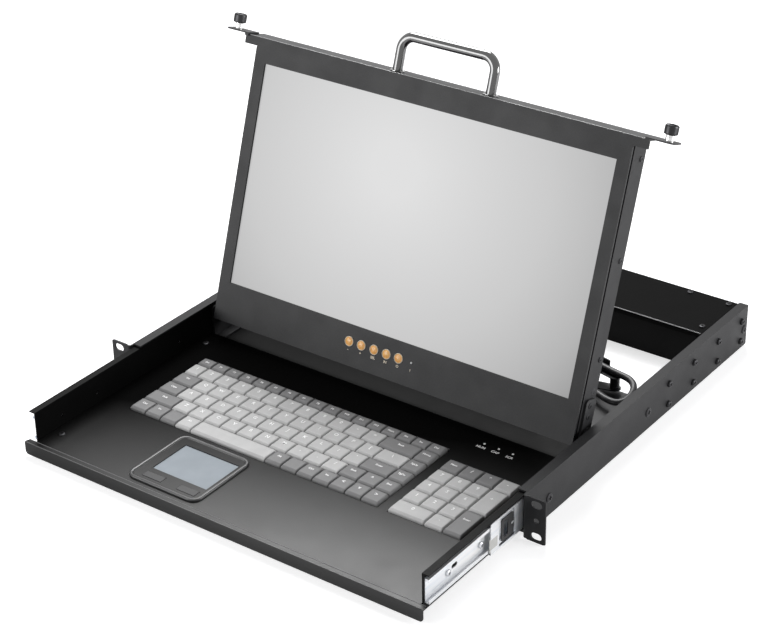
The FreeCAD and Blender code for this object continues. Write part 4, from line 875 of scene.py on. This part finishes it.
def keyboard():
    half = KEY_GAP / 2
    for index, widths in ROW_WIDTHS.items():
        node = "key_row_%d" % index
        low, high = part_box(node)
        unit = (high[0] - low[0] + KEY_GAP) / sum(widths)
        x = low[0] - half
        cells = []
        for place, width in enumerate(widths):
            span = (x + half, x + width * unit - half)
            cells.append((span, (low[1], high[1]), ROW_LEGENDS[index][place], place in DARK_KEYS[index]))
            x += width * unit
        key_block("row_%d" % index, "keys_%d" % index, node, cells)
    low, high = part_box("numpad_keys")
    across = (high[0] - low[0] + KEY_GAP) / 4
    up = (high[1] - low[1] + KEY_GAP) / 5
    cells = []
    for column, row, wide, tall, text, dark in NUMPAD:
        x = low[0] + column * across
        y = low[1] + row * up
        cells.append(((x, x + wide * across - KEY_GAP), (y, y + tall * up - KEY_GAP), text, dark))
    key_block("numpad", "numpad", "numpad_keys", cells)


# Touchpad border in millimetres: how far in from the frame's edge, and how far above its top.
TOUCHPAD_BORDER = ((-1.2, -1.7), (-1.2, 0.0), (-0.7, 0.7), (0.4, 1.0), (1.5, 0.7), (2.3, 0.0), (2.3, -0.5))
TOUCHPAD_CORNER = 8


def touchpad_ring():
    """Rounded raised border of the touchpad frame."""
    low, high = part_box("touchpad_frame")
    rings = []
    for inset, rise in TOUCHPAD_BORDER:
        x = (low[0] + inset * MM, high[0] - inset * MM)
        y = (low[1] + inset * MM, high[1] - inset * MM)
        rings.append(ring_points(x, y, high[2] + rise * MM, (TOUCHPAD_CORNER - inset) * MM))
    work = bmesh.new()
    loop_rings(work, rings)
    border = finish_mesh(work, "touchpad_ring", 80)
    piece("touchpad_ring", border, "tray", ["ring_powder"])


# ---- handle, knobs, controls: millimetres on the screen's axes ----
HANDLE_RADIUS = 4.9
HANDLE_HALF = 50.6
HANDLE_FOOT = 237.5
HANDLE_TOP = 271.1
HANDLE_BEND = 13.0
HANDLE_DEPTH = -12.0
BEND_STEPS = 16
WASHER = millimetres((7.0, 0.02), (7.0, 0.7), (6.4, 1.1), (5.1, 1.3))
KNOB_SIDE = 232.55
KNOB_FOOT = 245.3
KNOB_DEPTH = -6.2
KNURL_STEP = 0.7
KNURL_RADIUS = 5.95
KNOB_FOOT_PROFILE = millimetres((2.0, -6.9), (2.0, -0.02), (5.2, 0), (5.8, 0.35))
KNOB_TOP_PROFILE = millimetres((5.7, 7.9), (5.2, 8.4), (4.6, 8.5), (4.3, 8.2), (4.2, 6.6), (1.0, 6.4))
COLLAR_FOOT = 239.5
COLLAR = millimetres((3.9, 0.02), (3.9, 3.6), (3.6, 3.8), (3.6, 4.2), (3.9, 4.4), (3.9, 5.2), (3.6, 5.45),
                     (2.1, 5.45))
BUTTONS_U = (-43.6, -29.6, -15.1, -1.0, 12.7)
BUTTONS_V = -15.9
RIM = millimetres((4.15, 0.02), (4.2, 0.5), (4.45, 0.62), (4.75, 0.45), (4.8, 0.02))
RIM_STEPS = 40
BUTTON_MARKS = ("-", "+", "SEL", "IN", "O")
BUTTON_MARKS_V = -23.6
LAMP_MARK = ("I", 3.0 * MM, on_screen(27.1, -23.2, 0.03), SCREEN_TURN)
LAMP_WORDS = (("NUM", 0.1221), ("CAP", 0.1373), ("SCR", 0.1522))
LAMP_WORDS_Y = 0.0822


def handle():
    """Round bar with two legs and swept bends, on two washers."""
    path = [(-HANDLE_HALF, HANDLE_FOOT)]
    inner = HANDLE_HALF - HANDLE_BEND
    for centre, start in ((-inner, 180), (inner, 90)):
        for step in range(BEND_STEPS + 1):
            angle = math.radians(start - 90 * step / BEND_STEPS)
            path.append((centre + HANDLE_BEND * math.cos(angle),
                         HANDLE_TOP - HANDLE_BEND + HANDLE_BEND * math.sin(angle)))
    path.append((HANDLE_HALF, HANDLE_FOOT))
    points = [on_screen(u, v, HANDLE_DEPTH) for u, v in path]
    bar, _ = tube("handle", points, HANDLE_RADIUS * MM, "POLY", 10)
    piece("handle_bar", smoothed(evaluated_mesh(bar)), "screen", ["chrome"], ["pull_handle"])
    work = bmesh.new()
    for side in (-1, 1):
        lathe(work, WASHER, on_screen(side * HANDLE_HALF, HANDLE_FOOT, HANDLE_DEPTH), SCREEN_UP, 36)
    piece("handle_washers", finish_mesh(work, "handle_washers"), "screen", ["chrome"])


def knurl(k, radius, height):
    """Diamond knurling on the knob's widest rings, and nothing elsewhere."""
    if radius < 5.9 * MM:
        return 1.0
    return 1.035 if (k + round(height / (KNURL_STEP * MM))) % 2 else 0.975


def knobs():
    """Knurled thumbscrew heads with a dished top, and their bright collars."""
    knurled = millimetres(*((KNURL_RADIUS, KNURL_STEP + KNURL_STEP * k) for k in range(10)))
    profile = KNOB_FOOT_PROFILE + knurled + KNOB_TOP_PROFILE
    collars = bmesh.new()
    for side, name in ((-1, "left"), (1, "right")):
        work = bmesh.new()
        lathe(work, profile, on_screen(side * KNOB_SIDE, KNOB_FOOT, KNOB_DEPTH), SCREEN_UP, 48, knurl)
        head = finish_mesh(work, "knob", 40)
        piece("knob_" + name, head, "knob_" + name, ["knob"], ["thumbscrew_" + name])
        lathe(collars, COLLAR, on_screen(side * KNOB_SIDE, COLLAR_FOOT, KNOB_DEPTH), SCREEN_UP, 36)
    collars = finish_mesh(collars, "collars")
    piece("knob_collars", collars, "screen", ["silver_neck"], ["lcd_fasteners"])


def screen_controls():
    """Pale rims round the five buttons, small marks below them, and the words by the deck's lamps."""
    work = bmesh.new()
    angles = [2 * math.pi * k / RIM_STEPS for k in range(RIM_STEPS)]
    loop_rings(work, [[Vector((r * math.cos(a), r * math.sin(a), h)) for r, h in RIM] for a in angles])
    places = [(on_screen(u, BUTTONS_V, 0), SCREEN_OUT) for u in BUTTONS_U]
    rims = repeated("button_rims", finish_mesh(work, "rim", 60), places, "pale_ring")
    piece("button_rims", rims, "screen", ["pale_ring"])
    marks = [(text, 3.4 * MM, on_screen(u, BUTTON_MARKS_V, 0.03), SCREEN_TURN)
             for text, u in zip(BUTTON_MARKS, BUTTONS_U)]
    lettering("control_marks", marks + [LAMP_MARK], "screen", "pale_ring")
    words = [(text, 4.2 * MM, Vector((x, LAMP_WORDS_Y, DECK_TOP + 0.1 * MM)), UPRIGHT)
             for text, x in LAMP_WORDS]
    lettering("lamp_marks", words, "tray", "legend")


# ---- cable ----
ELBOW = Vector((0.165036, 0.2425, 0))
BOX_PIVOT = Vector((-0.157, 0.3145, 0))
TRAY_PIVOT = Vector((-0.157, 0.1705, 0))
ARM_LENGTH = 330
CABLE_RADIUS = 3.2
REAR_Z = 3.3
FRONT_Z = -9.8
CABLE_START = 14
CABLE_END = 18
# The cable's wander: share of the link's length, and millimetres to its left.
REAR_WANDER = ((0.2, 0.5), (0.4, -0.5), (0.6, 0.5), (0.75, -0.4), (0.9, 0.3), (1.0, 0))
FRONT_WANDER = ((1 / 3, -0.5), (1 / 2, 0.5), (2 / 3, -0.5), (5 / 6, 0.4), (1 - CABLE_END / ARM_LENGTH, 0))
LOOP = ((20, -3, 3.3), (29, -14, 0), (26, -28, -6.5), (13, -31, -8.8))
AFTER_LOOP = ((22, 12), (60, 0.6))


def along(start, end, distance, side, z):
    """Point at a distance along a link, offset to its left, in millimetres."""
    run = (end - start).normalized()
    left = Vector((-run.y, run.x, 0))
    place = start + run * distance * MM + left * side * MM
    return Vector((place.x, place.y, z * MM))


def arm_cable():
    """One cable along both links, bending round the elbow in an open loop."""
    points = [along(BOX_PIVOT, ELBOW, CABLE_START, 0, REAR_Z)]
    points += [along(BOX_PIVOT, ELBOW, share * ARM_LENGTH, side, REAR_Z) for share, side in REAR_WANDER]
    points += [ELBOW + Vector(offset) * MM for offset in LOOP]
    points += [along(ELBOW, TRAY_PIVOT, distance, side, FRONT_Z) for distance, side in AFTER_LOOP]
    points += [along(ELBOW, TRAY_PIVOT, share * ARM_LENGTH, side, FRONT_Z) for share, side in FRONT_WANDER]
    cable, spline = tube("arm_cable", points, CABLE_RADIUS * MM, "NURBS", 6)
    spline.order_u = 3
    spline.use_endpoint_u = True
    spline.resolution_u = 10
    mesh = smoothed(evaluated_mesh(cable))
    mesh.materials.clear()
    mesh.materials.append(MATERIALS["cable"])
    item = bpy.data.objects.new("arm_cable", mesh)
    bpy.context.collection.objects.link(item)
    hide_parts("cable_rear", "cable_front")
    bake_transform(item)


def main():
    camera()
    studio()
    floor()
    make_materials()
    dress_frame()
    keyboard()
    touchpad_ring()
    handle()
    knobs()
    screen_controls()
    chassis_screws()
    tray_screws()
    screen_screws()
    painted_highlight_lines()
    arm_cable()


main()
